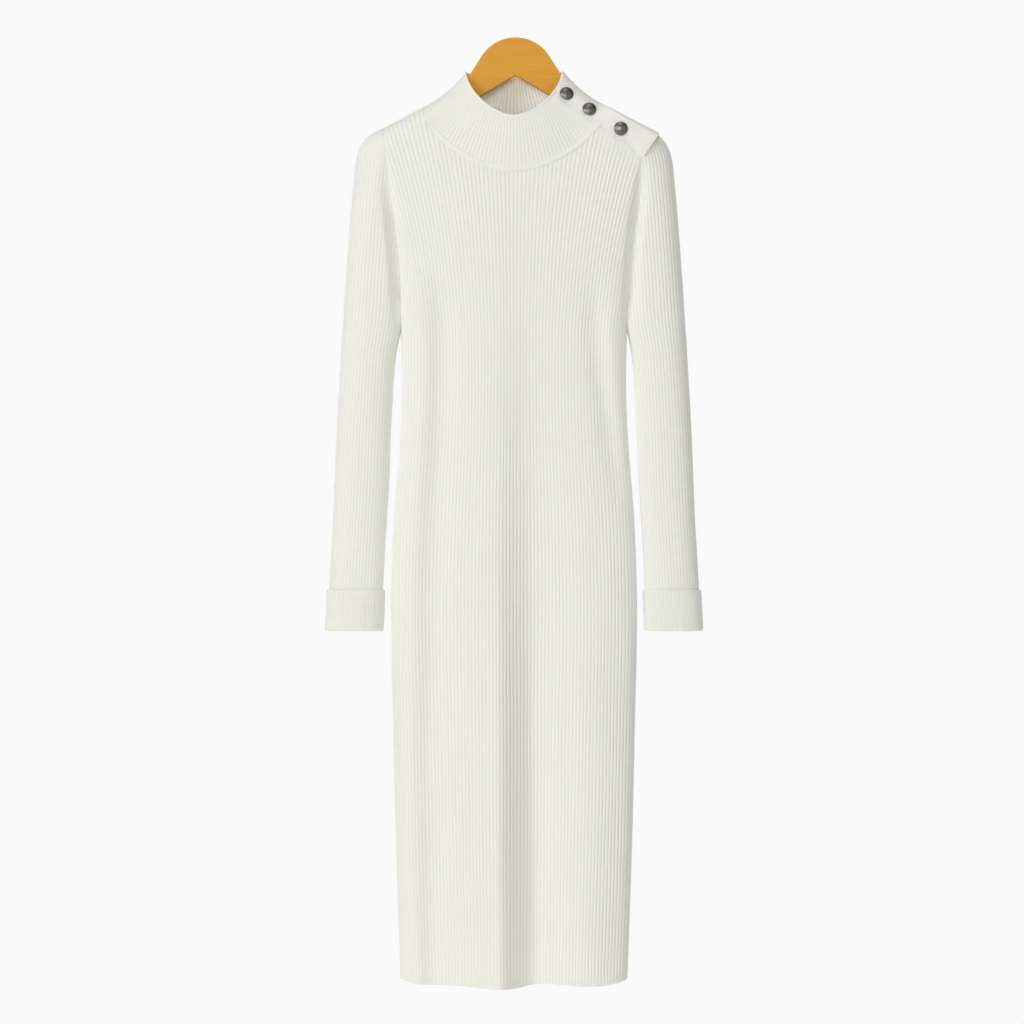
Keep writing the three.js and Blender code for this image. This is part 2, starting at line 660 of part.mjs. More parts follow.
// Rows of the collar: the linked seam, the ribs and the rolled rim.
const COLLAR_ROWS = [
  { height: 0, linked: LINKED_RISE, rib: 0 },
  { height: LINKED_SEAM / COLLAR_HEIGHT, linked: LINKED_RISE, rib: 0 },
  { height: (LINKED_SEAM + LINKED_FADE) / COLLAR_HEIGHT, linked: 0, rib: 1 },
  { height: 0.5, linked: 0, rib: 1 },
  { height: ROLLED_RIM.share, linked: 0, rib: 1 },
  { height: 1, linked: -ROLLED_RIM.sink, rib: 0 },
];

function makeCollar(name, frontSurface, backSurface, material) {
  const part = (surface, ribs, isBack) => Array.from({ length: ribs * 2 }, (_, i) => {
    const share = i / (ribs * 2);
    return { surface, share: isBack ? 1 - share : share, rib: i % 2 };
  });
  const columns = [
    ...part(frontSurface, COLLAR_FRONT_RIBS, false),
    ...part(backSurface, COLLAR_BACK_RIBS, true),
  ];
  const outer = COLLAR_ROWS.map((row) => columns.map(({ surface, share, rib }) => (
    surface.point(share, row.height, row.linked + row.rib * rib * RIB_RISE))));
  const seamLine = columns.map(({ surface, share }) => surface.point(share, 0, 0));
  const picks = pickColumns([...seamLine, seamLine[0]]);
  const inner = COLLAR_ROWS.map((row) => picks.slice(0, -1).map((k) => {
    const { surface, share } = columns[k];
    return row.height === 0
      ? surface.column(share).base.inner
      : surface.point(share, row.height, -WALL);
  }));
  return wall(name, outer, inner, picks, true, material);
}

const SLEEVE_HEAD = 10; // inside the armhole seam, where the sleeve's fullness starts

// Depth of the front's cloth at a place on the front view, over the body or the sleeve.
function frontSkin(x, z) {
  const spread = bodySpread(z);
  const across = Math.min(Math.abs(x) / spread, 1);
  const out = (1 - across ** BODY_SQUARENESS) ** (1 / BODY_SQUARENESS);
  const body = bodyReach(-1, { across, out }, x, z, 0);
  const half = (sleeveOuter(z) - sleeveInner(z)) / 2;
  const share = (Math.abs(x) - sleeveOuter(z) + half) / half;
  const inSleeve = Math.abs(x) > SHOULDER_HALF - SLEEVE_HEAD && share < 1;
  const sleeve = inSleeve
    ? sleeveDepth(z) * (1 - Math.abs(share) ** SLEEVE_SQUARENESS) ** (1 / SLEEVE_SQUARENESS)
    : 0;
  return Math.max(body, sleeve);
}

// The groove-level surface under the placket: rows along it from the collar's rim to past
// the armhole, columns across it from the shoulder's ridge to its lower edge.
function placketBase(collar) {
  const rows = [];
  const shareAt = (height, across) => 1 - (across * BAND_WIDTH) / collar.length(height);
  for (let i = 0; i < BAND_ROWS_ON_COLLAR; i += 1) {
    const height = 1 - i / BAND_ROWS_ON_COLLAR;
    const below = i === 0 ? BAND_BELOW_RIM : 0;
    rows.push(BAND_COLUMNS.map((across) => {
      const point = collar.point(shareAt(height, across), height, 0);
      return point.setZ(point.z - below);
    }));
  }
  for (let i = 0; i <= BAND_ROWS_ON_SHOULDER; i += 1) {
    const along = i / BAND_ROWS_ON_SHOULDER;
    rows.push(BAND_COLUMNS.map((across) => {
      const start = collar.point(shareAt(0, across), 0, 0);
      const x = lerp(start.x, lerp(BAND_END.topX, BAND_END.lowX, across), along);
      const z = lerp(start.z, lerp(BAND_END.topZ, BAND_END.lowZ, across), along);
      const y = across === 0 ? 0 : -frontSkin(x, Math.min(z, shoulderZ(x) - across * BAND_WIDTH));
      return new THREE.Vector3(x, along === 0 ? start.y : y, z);
    }));
  }
  return rows;
}

// The outward normal at each point of an open grid of points.
function gridNormals(grid) {
  return grid.map((row, i) => row.map((_, j) => {
    const along = grid[Math.min(i + 1, grid.length - 1)][j].clone().sub(grid[Math.max(i - 1, 0)][j]);
    const across = row[Math.min(j + 1, row.length - 1)].clone().sub(row[Math.max(j - 1, 0)]);
    const normal = along.cross(across).normalize();
    return normal.y > 0 && normal.z < 0 ? normal.negate() : normal;
  }));
}

function lifted(grid, normals, by) {
  return grid.map((row, i) => row.map((point, j) => point.clone().addScaledVector(normals[i][j], by)));
}

function makeBand(name, base, normals, from, to, clear, thick, material) {
  const rows = (grid) => grid.slice(from, to);
  const picks = BAND_COLUMNS.map((_, j) => j);
  const outer = rows(lifted(base, normals, clear + thick));
  const inner = rows(lifted(base, normals, clear));
  return wall(name, outer, inner, picks, false, material);
}

function gridAt(grid, row, across) {
  const i = Math.min(Math.floor(row), grid.length - 2);
  const next = BAND_COLUMNS.findIndex((share) => share > across);
  const j = next - 1;
  const part = (across - BAND_COLUMNS[j]) / (BAND_COLUMNS[next] - BAND_COLUMNS[j]);
  const before = grid[i][j].clone().lerp(grid[i][next], part);
  const after = grid[i + 1][j].clone().lerp(grid[i + 1][next], part);
  return before.lerp(after, row - i);
}

// The place on the band, as a row along it and a share across it, that shows at x and z.
function placeOnBand(surface, x, z) {
  const steps = 40; // to each row and across the whole band
  let best = { miss: Infinity };
  for (let i = 0; i < (surface.length - 1) * steps; i += 1) {
    for (let k = 1; k < steps; k += 1) {
      const [row, across] = [i / steps, k / steps];
      const point = gridAt(surface, row, across);
      const miss = Math.hypot(point.x - x, point.z - z);
      if (miss < best.miss) best = { miss, row, across };
    }
  }
  return best;
}

function makeSnap({ name, x, z }, surface, normals, material) {
  const { row, across } = placeOnBand(surface, x, z);
  const profile = SNAP_PROFILE.map(({ share, height }) => (
    new THREE.Vector2(SNAP_RADIUS * share, height)));
  const mesh = new THREE.Mesh(new THREE.LatheGeometry(profile, SNAP_SIDES), material);
  const normal = gridAt(normals, row, across).normalize();
  mesh.quaternion.setFromUnitVectors(new THREE.Vector3(0, 1, 0), normal);
  const centre = gridAt(surface, row, across);
  const near = surface.flat().filter((point) => (
    point.distanceTo(centre) < SNAP_RADIUS * SNAP_REACH));
  const proud = near
    .reduce((most, point) => Math.max(most, point.clone().sub(centre).dot(normal)), 0);
  mesh.position.copy(centre).addScaledVector(normal, proud + SEAM_GAP);
  mesh.name = name;
  return mesh;
}

function makeHanger(name, material) {
  const flank = curve(HANGER_TOP, 'x', 'z');
  const lastFlank = HANGER_TOP[HANGER_TOP.length - 1].x;
  const top = (x) => (Math.abs(x) <= lastFlank ? flank(Math.abs(x)) : shoulderZ(x) - HANGER_DROP);
  const under = (x) => HANGER_NOTCH.z - HANGER_UNDER_SLOPE * Math.abs(x);
  const outer = HANGER_TIP - HANGER_UNDER_INSET;
  const right = [
    ...HANGER_TOP.slice(1).map(({ x }) => new THREE.Vector2(x, top(x))),
    ...HANGER_END.map(({ inset, drop }) => (
      new THREE.Vector2(HANGER_TIP - inset, top(HANGER_TIP) - drop))),
    new THREE.Vector2(outer, under(outer)),
    new THREE.Vector2(HANGER_NOTCH.half, under(HANGER_NOTCH.half)),
  ];
  const left = [...right].reverse().map((point) => new THREE.Vector2(-point.x, point.y));
  const outline = new THREE.Shape([
    new THREE.Vector2(0, top(0)),
    ...right,
    new THREE.Vector2(0, HANGER_NOTCH.z - HANGER_NOTCH.blunt),
    ...left,
  ]);
  const geometry = new THREE.ExtrudeGeometry(outline, {
    depth: HANGER_THICK - 2 * HANGER_BEVEL,
    bevelThickness: HANGER_BEVEL,
    bevelSize: HANGER_BEVEL,
    bevelOffset: -HANGER_BEVEL,
    bevelSegments: 1,
    curveSegments: 1,
  });
  geometry.rotateX(Math.PI / 2);
  geometry.translate(0, HANGER_THICK / 2 - HANGER_BEVEL, 0);
  const mesh = new THREE.Mesh(geometry, material);
  mesh.name = name;
  return mesh;
}

const finish = (color, roughness, metalness) => (
  new THREE.MeshStandardMaterial({ color, roughness, metalness }));
const knit = () => finish(0xe6e6dd, 0.95, 0);

const dress = new THREE.Group();
const front = makePanel('front', -1, FRONT_NECK, FRONT_HEM, knit());
const back = makePanel('back', 1, BACK_NECK, BACK_HEM, knit());
dress.add(front.mesh, back.mesh);
dress.add(makeSleeve('sleeve_left', 1, front.seam, back.seam, knit()));
dress.add(makeSleeve('sleeve_right', -1, front.seam, back.seam, knit()));
dress.add(makeCuff('cuff_left', 1, knit()), makeCuff('cuff_right', -1, knit()));

const frontCollar = collarSurface(-1, front.seam);
const backCollar = collarSurface(1, back.seam);
dress.add(makeCollar('collar', frontCollar, backCollar, knit()));

const base = placketBase(frontCollar);
const normals = gridNormals(base);
const standRows = BAND_ROWS_ON_COLLAR + Math.round(BAND_ROWS_ON_SHOULDER * STAND_SHARE) + 1;
const bandClear = BAND_CLEAR + STAND_WALL + SEAM_GAP;
dress.add(makeBand(
  'placket_stand', base, normals, 0, standRows, BAND_CLEAR, STAND_WALL, knit()));
dress.add(makeBand(
  'placket_band', base, normals, 0, base.length, bandClear, BAND_WALL, finish(0xe9e8e2, 0.9, 0)));

const bandTop = lifted(base, normals, bandClear + BAND_WALL);
for (const snap of SNAPS) dress.add(makeSnap(snap, bandTop, normals, finish(0x7d7c73, 0.35, 0.9)));

dress.add(makeHanger('hanger', finish(0xd59d43, 0.4, 0)));

export default dress;
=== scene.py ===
"""The looks of a long rib-knit sweater dress that hangs on a wooden hanger."""

import logging
import math
from collections.abc import Callable, Sequence
from dataclasses import dataclass, field
from enum import Enum
from typing import NamedTuple

import bmesh
import bpy
import numpy as np
from mathutils import Matrix, Vector


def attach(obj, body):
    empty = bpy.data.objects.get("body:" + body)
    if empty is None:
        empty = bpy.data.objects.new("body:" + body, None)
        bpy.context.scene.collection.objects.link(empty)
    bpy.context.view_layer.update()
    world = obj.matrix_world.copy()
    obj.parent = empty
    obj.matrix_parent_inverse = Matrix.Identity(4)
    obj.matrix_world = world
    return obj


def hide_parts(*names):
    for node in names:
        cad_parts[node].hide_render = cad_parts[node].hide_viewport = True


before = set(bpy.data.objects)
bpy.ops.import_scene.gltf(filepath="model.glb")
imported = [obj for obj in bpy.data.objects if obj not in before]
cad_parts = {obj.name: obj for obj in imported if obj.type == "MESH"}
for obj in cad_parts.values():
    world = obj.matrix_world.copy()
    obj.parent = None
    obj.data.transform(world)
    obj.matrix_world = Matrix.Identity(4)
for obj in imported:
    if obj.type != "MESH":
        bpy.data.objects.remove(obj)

logging.basicConfig(level=logging.INFO, format="%(message)s")
log = logging.getLogger("dress")

MM = 0.001

# The cloth, in millimetres
WALL = 1.6
RIB_RISE = 0.4
HALF_GAP = 0.15
SEAM_GAP = -0.2
STITCH_ROW = 2.1
RIB_PHASES = (0.0, 0.09, 0.25, 0.5, 0.75, 0.91)
INSIDE_RIB = 0.5
RIB_FLATNESS = 3
RIB_FULLNESS = 0.8

# Fine steps that lengths are measured in, and halvings that find an edge
SECTION_STEPS = 6001
LINE_STEPS = 2001
HALVINGS = 50

# The shoulders
SHOULDER_PEAK = -27.0
SHOULDER_SLOPE = 0.526
SHOULDER_COS = 1 / math.hypot(1, SHOULDER_SLOPE)
SHOULDER_ROUND = 25.0
NECK_HALF = 113.0
SHOULDER_HALF = 164.0
UNDERARM = -366.0

# The tuck beside each armhole: depth, width on the body and on the sleeve, and its two ends
ARM_TUCK = 12.5
BODY_TUCK_WIDTH = 9
SLEEVE_TUCK_WIDTH = 15
TUCK_RISE = 50
TUCK_FADE = (-235, -150)


class Side(Enum):
    """Which way a panel faces."""

    FRONT = -1
    BACK = 1


class Hand(Enum):
    """Which of the wearer's arms a piece is for."""

    LEFT = 1
    RIGHT = -1


class BodyRow(NamedTuple):
    """Half width that the ribs spread over and half depth of the body at a height."""

    z: float
    spread: float
    depth: float


class SleeveRow(NamedTuple):
    """Outer and inner edge of a sleeve, seen from the front, and its half depth."""

    z: float
    outer: float
    inner: float
    depth: float


class Section(NamedTuple):
    """Half width and half depth of a section that ribs are spaced on."""

    half: float
    depth: float


class Spot(NamedTuple):
    """A place on the front view."""

    x: float
    z: float


class Fold(NamedTuple):
    """A long soft ridge, or a trough where its rise is negative.

    Its place and its breadth on either side are shares of the half width. It shows
    between two heights, rises out of the plain cloth over a length at each end, and
    leans sideways by a share of the half width for each metre down.
    """

    across: float
    left: float
    right: float
    rise: float
    start: float
    end: float
    ease: float
    lean: float = 0.0


class Sag(NamedTuple):
    """The drop of a neckline or rim in its middle, and how square its curve is."""

    drop: float
    squareness: float


PAST_HEM = -2200.0

BODY_ROWS = (
    BodyRow(-1190, 141, 30),
    BodyRow(-1052, 146, 30),
    BodyRow(-852, 151, 29),
    BodyRow(-702, 153.5, 28),
    BodyRow(-602, 150, 26.5),
    BodyRow(-502, 142.5, 25),
    BodyRow(-440, 140, 24.5),
    BodyRow(-384, 140.4, 25),
    BodyRow(-366, 140.9, 25.2),
    BodyRow(-352, 142.7, 25.5),
    BodyRow(-315, 148, 26),
    BodyRow(-252, 160.5, 27),
    BodyRow(-202, 175.5, 27),
    BodyRow(-159, 191.5, 26),
    BodyRow(-113, 211, 25),
    BodyRow(-80, 224, 24),
)
BODY_SQUARENESS = 3.5
BODY_TYPICAL = Section(141, 25)
ARMHOLE = (
    Spot(140.9, -366),
    Spot(142, -327),
    Spot(144.8, -277),
    Spot(150, -227),
    Spot(157, -177),
    Spot(164, -113),
)
SLEEVE_ROWS = (
    SleeveRow(-740, 233.5, 166, 17),
    SleeveRow(-652, 229, 162, 17.5),
    SleeveRow(-602, 226, 159, 18),
    SleeveRow(-552, 224, 155.8, 18.5),
    SleeveRow(-502, 222, 154.2, 19),
    SleeveRow(-452, 219.5, 151.5, 19.5),
    SleeveRow(-410, 217, 148.9, 20),
    SleeveRow(-390, 216, 146.5, 20),
    SleeveRow(-376, 215, 143.8, 20),
    SleeveRow(-366, 214.3, 141.2, 20),
    SleeveRow(-300, 210, 135.3, 20.5),
    SleeveRow(-252, 206.5, 131.8, 21),
    SleeveRow(-200, 202.4, 127.7, 21),
    SleeveRow(-177, 200, 125.3, 21),
    SleeveRow(-156, 198, 123.3, 20.5),
    SleeveRow(-142, 194.5, 119.8, 20),
    SleeveRow(-132, 190, 115.3, 19.5),
    SleeveRow(-122, 181, 106.3, 18.5),
    SleeveRow(-113, 164, 89.3, 17.5),
)
SLEEVE_SQUARENESS = 2.3
SLEEVE_TYPICAL = Section(34, 19)
SLEEVE_END = -739.0

FRONT_HEM = (
    Spot(-141, -1175),
    Spot(-128, -1178),
    Spot(-62, -1181),
    Spot(-25, -1184.5),
    Spot(7, -1184),
    Spot(30, -1180),
    Spot(52, -1180),
    Spot(85, -1182),
    Spot(128, -1179),
    Spot(141, -1175),
)
BACK_HEM = (
    Spot(-141, -1175),
    Spot(-80, -1178),
    Spot(0, -1176),
    Spot(70, -1179),
    Spot(141, -1175),
)
FRONT_FOLDS = (
    Fold(-0.18, 0.36, 0.135, 10.4, -120, PAST_HEM, 880, 0.04),
    Fold(0.13, 0.14, 0.3, -9.6, -120, PAST_HEM, 880, 0.06),
    Fold(-0.82, 0.1, 0.1, 3.6, -270, PAST_HEM, 80, -0.06),
    Fold(-0.62, 0.1, 0.14, -3.8, -270, PAST_HEM, 80, -0.1),
    Fold(0.62, 0.1, 0.1, -4.4, -270, -620, 110, 1.0),
    Fold(0.82, 0.1, 0.12, 2.6, -270, -620, 110, 0.5),
    Fold(0.62, 0.2, 0.2, 3.4, -480, PAST_HEM, 700),
    Fold(-0.12, 0.08, 0.1, 2.8, -560, PAST_HEM, 620),
    Fold(0.15, 0.11, 0.12, -3.8, -560, PAST_HEM, 620),
)
BACK_FOLDS = (
    Fold(-0.74, 0.1, 0.12, -3.0, -320, PAST_HEM, 500),
    Fold(-0.36, 0.2, 0.13, 5.4, -420, PAST_HEM, 670),
    Fold(0.0, 0.14, 0.2, -5.0, -400, PAST_HEM, 700),
    Fold(0.42, 0.2, 0.14, 4.6, -520, PAST_HEM, 630),
    Fold(0.78, 0.09, 0.09, -2.4, -300, -760, 230),
)
FRONT_NECK = Sag(81.5, 1.75)
BACK_NECK = Sag(26, 2)

# The free end and the lower edge of the placket band on the front view
BAND_TOP_END = Spot(181, -121.5)
BAND_LOW_END = Spot(162, -151)
BAND_LOW_START = Spot(104, -114)


def curve(places: Sequence[float], values: Sequence[float]) -> Callable[[np.ndarray], np.ndarray]:
    """Makes a smooth curve through points.

    Args:
        places: Where each point lies.
        values: The curve's value there.

    Returns:
        The curve as a function of place, level beyond its ends.
    """
    order = np.argsort(places)
    xs = np.asarray(places, float)[order]
    ys = np.asarray(values, float)[order]
    slopes = np.gradient(ys, xs)

    def at(place: np.ndarray) -> np.ndarray:
        """Works out the curve's value.

        Args:
            place: One place or many.

        Returns:
            The value at each.
        """
        x = np.clip(place, xs[0], xs[-1])
        i = np.clip(np.searchsorted(xs, x) - 1, 0, len(xs) - 2)
        step = xs[i + 1] - xs[i]
        t = (x - xs[i]) / step
        start = (1 + 2 * t) * (1 - t) ** 2 * ys[i] + t * (1 - t) ** 2 * step * slopes[i]
        end = t**2 * (3 - 2 * t) * ys[i + 1] - t**2 * (1 - t) * step * slopes[i + 1]
        return start + end

    return at


def table_curve(rows: Sequence[NamedTuple], start: str, end: str) -> Callable[[np.ndarray], np.ndarray]:
    """A smooth curve from one named column of a table to another."""
    return curve([getattr(row, start) for row in rows], [getattr(row, end) for row in rows])


body_spread = table_curve(BODY_ROWS, "z", "spread")
body_depth = table_curve(BODY_ROWS, "z", "depth")
armhole_half = table_curve(ARMHOLE, "z", "x")
sleeve_outer = table_curve(SLEEVE_ROWS, "z", "outer")
sleeve_inner = table_curve(SLEEVE_ROWS, "z", "inner")
sleeve_depth = table_curve(SLEEVE_ROWS, "z", "depth")


def sleeve_half(z: np.ndarray) -> np.ndarray:
    """Half width of the sleeve at a height."""
    return (sleeve_outer(z) - sleeve_inner(z)) / 2


def sleeve_x(across: np.ndarray, z: np.ndarray) -> np.ndarray:
    """The place on the front view of a share of the sleeve's half width."""
    half = sleeve_half(z)
    return sleeve_outer(z) - half + across * half


def shoulder_z(x: np.ndarray) -> np.ndarray:
    """Height of the shoulder line at x."""
    return SHOULDER_PEAK - SHOULDER_SLOPE * np.abs(x)


def ease(value: np.ndarray, low: float, high: float) -> np.ndarray:
    """A soft step from 0 at low to 1 at high."""
    t = np.clip((value - low) / (high - low), 0, 1)
    return t * t * (3 - 2 * t)


def at_least(low: float, share: np.ndarray) -> np.ndarray:
    """A share of 0 to 1 made one of low to 1."""
    return low + (1 - low) * share


def sag_z(x: np.ndarray, half: float, side_z: float, shape: Sag) -> np.ndarray:
    """Height of a neckline or rim at x, between two points at the same height."""
    share = np.minimum(np.abs(x) / half, 1)
    return side_z - shape.drop * (1 - share**shape.squareness) ** (1 / shape.squareness)


def rib_shape(ribs: np.ndarray) -> np.ndarray:
    """Height of a wide rib with narrow grooves, 0 to 1, at a count of ribs."""
    return (1 - np.abs(2 * (ribs % 1) - 1) ** RIB_FLATNESS) ** RIB_FULLNESS


def rib_columns(ribs: int) -> np.ndarray:
    """The counts of ribs at which a row of ribs has its points, the last one left out."""
    return (np.arange(ribs)[:, None] + np.array(RIB_PHASES)).ravel()


def rounded_section(
    section: Section, squareness: float, shares: np.ndarray
) -> tuple[np.ndarray, np.ndarray]:
    """Walks along half of a rounded flat section, from one edge over the middle to the other.

    Args:
        section: Its sizes.
        squareness: Power of its rounded shape.
        shares: How far along the walk each station is, 0 to 1.

    Returns:
        Each station's share of the half width, and of the half depth.
    """
    angle = np.linspace(0, math.pi, SECTION_STEPS)
    across = -np.sign(np.cos(angle)) * np.abs(np.cos(angle)) ** (2 / squareness)
    out = np.maximum(np.sin(angle), 0) ** (2 / squareness)
    steps = np.hypot(np.diff(across) * section.half, np.diff(out) * section.depth)
    along = np.concatenate([[0], np.cumsum(steps)])
    place = shares * along[-1]
    return np.interp(place, along, across), np.interp(place, along, out)


def points(x: np.ndarray, y: np.ndarray, z: np.ndarray) -> np.ndarray:
    """Three grids of coordinates as one grid of points."""
    return np.stack(np.broadcast_arrays(x, y, z), axis=-1).astype(float)


def unit(vectors: np.ndarray) -> np.ndarray:
    """The same directions, one long."""
    return vectors / np.maximum(np.linalg.norm(vectors, axis=-1, keepdims=True), 1e-9)


def grid_normals(grid: np.ndarray, is_tube: bool, outwards: np.ndarray) -> np.ndarray:
    """Works out the outward direction at each point of a grid.

    Args:
        grid: Rows of points.
        is_tube: Whether the last column joins the first.
        outwards: A direction at each point that is roughly outwards.

    Returns:
        Unit vectors, one for each point.
    """
    if is_tube:
        along = np.roll(grid, -1, 1) - np.roll(grid, 1, 1)
    else:
        along = np.gradient(grid, axis=1)
    found = unit(np.cross(along, np.gradient(grid, axis=0)))
    wrong = np.sum(found * outwards, axis=-1) < 0
    found[wrong] *= -1
    return found


def highest(low: np.ndarray, high: np.ndarray, is_inside: Callable[[np.ndarray], np.ndarray]) -> np.ndarray:
    """Finds the edge of what lies inside, column by column.

    Args:
        low: A height inside, for each column.
        high: A height outside, for each column.
        is_inside: Says for each column's height whether it is inside.

    Returns:
        The greatest height inside.
    """
    for _ in range(HALVINGS):
        middle = (low + high) / 2
        inside = is_inside(middle)
        low = np.where(inside, middle, low)
        high = np.where(inside, high, middle)
    return low


def rows_down(top: np.ndarray, near: Sequence[float], count: int, end: np.ndarray | float) -> np.ndarray:
    """Heights of the rows of a hanging piece.

    Args:
        top: Upper edge of each column.
        near: Drops of the first rows below it.
        count: Even rows over the rest of the way.
        end: Height of the last row.

    Returns:
        A row of heights for each row of the piece.
    """
    first = top - np.array(near)[:, None]
    shares = (np.arange(1, count + 1) / count)[:, None]
    return np.concatenate([first, first[-1] + (end - first[-1]) * shares])


def walked(line: np.ndarray) -> np.ndarray:
    """The length walked along a line at each of its points."""
    return np.concatenate([[0], np.cumsum(np.linalg.norm(np.diff(line, axis=0), axis=1))])


def along_line(line: np.ndarray, shares: np.ndarray) -> np.ndarray:
    """Points of a line at shares of its length."""
    along = walked(line) / walked(line)[-1]
    return np.stack([np.interp(shares, along, line[:, k]) for k in range(3)], axis=-1)


def smoothed(grid: np.ndarray, rounds: int) -> np.ndarray:
    """Blends the rows of a grid along their run.

    Args:
        grid: Rows of points, changed in place.
        rounds: How often each row is blended with its neighbours.

    Returns:
        The grid, its first and last row as they were.
    """
    for _ in range(rounds):
        grid[1:-1] = (grid[:-2] + 2 * grid[1:-1] + grid[2:]) / 4
    return grid


def lying(x: np.ndarray, z: np.ndarray) -> np.ndarray:
    """How the cloth lies: 1 flat over the shoulder, 0 hanging."""
    below = (shoulder_z(x) - z) * SHOULDER_COS
    return np.clip(1 - below / SHOULDER_ROUND, 0, 1)


def fold_rise(folds: Sequence[Fold], across: np.ndarray, z: np.ndarray) -> np.ndarray:
    """Adds up the folds of a panel.

    Args:
        folds: The folds.
        across: Share of the half width at each place.
        z: Height of each place.

    Returns:
        How far the cloth stands out there.
    """
    total = np.zeros(np.broadcast(across, z).shape)
    for fold in folds:
        place = fold.across + fold.lean * (fold.start - z) * MM
        along = ease(fold.start - z, 0, fold.ease) * ease(z - fold.end, 0, fold.ease)
        breadth = np.where(across < place, fold.left, fold.right)
        total += fold.rise * along * np.exp(-(((across - place) / breadth) ** 2))
    return total


def arm_tuck(beside: np.ndarray, z: np.ndarray, width: float) -> np.ndarray:
    """How far the cloth is drawn in at a distance beside the armhole's seam."""
    along = ease(z, UNDERARM, UNDERARM + TUCK_RISE) * (1 - ease(z, *TUCK_FADE))
    return ARM_TUCK * along * (1 - ease(beside, 0, width))


def body_reach(side: Side, across: np.ndarray, out: np.ndarray, x: np.ndarray, z: np.ndarray) -> np.ndarray:
    """Works out how far the body's cloth is from the middle plane, at the level of its grooves.

    Args:
        side: Which panel.
        across: Share of the half width at each place.
        out: Share of the half depth there.
        x: The place on the front view.
        z: Its height.

    Returns:
        The distance at each place.
    """
    folds = FRONT_FOLDS if side is Side.FRONT else BACK_FOLDS
    hanging = np.sqrt(1 - lying(x, z) ** 2)
    drawn_in = arm_tuck(armhole_half(z) - np.abs(x), z, BODY_TUCK_WIDTH)
    return HALF_GAP + (body_depth(z) + fold_rise(folds, across, z) - drawn_in) * out * hanging


def body_at(side: Side, x: np.ndarray, z: np.ndarray) -> np.ndarray:
    """Finds the points of the body's cloth at places on the front view.

    Args:
        side: Which panel.
        x: The places.
        z: Their heights.

    Returns:
        The points.
    """
    across = np.clip(x / body_spread(z), -1, 1)
    out = (1 - np.abs(across) ** BODY_SQUARENESS) ** (1 / BODY_SQUARENESS)
    return points(x, side.value * body_reach(side, across, out, x, z), z)


def below_band(x: np.ndarray, z: np.ndarray) -> np.ndarray:
    """Works out how far places on the front view lie below the placket band's lower edge.

    Args:
        x: The places.
        z: Their heights.

    Returns:
        The distances, negative above the edge.
    """
    run = np.array([BAND_LOW_END.x - BAND_LOW_START.x, BAND_LOW_END.z - BAND_LOW_START.z], float)
    run = run / np.hypot(*run)
    return -((x - BAND_LOW_START.x) * -run[1] + (z - BAND_LOW_START.z) * run[0])


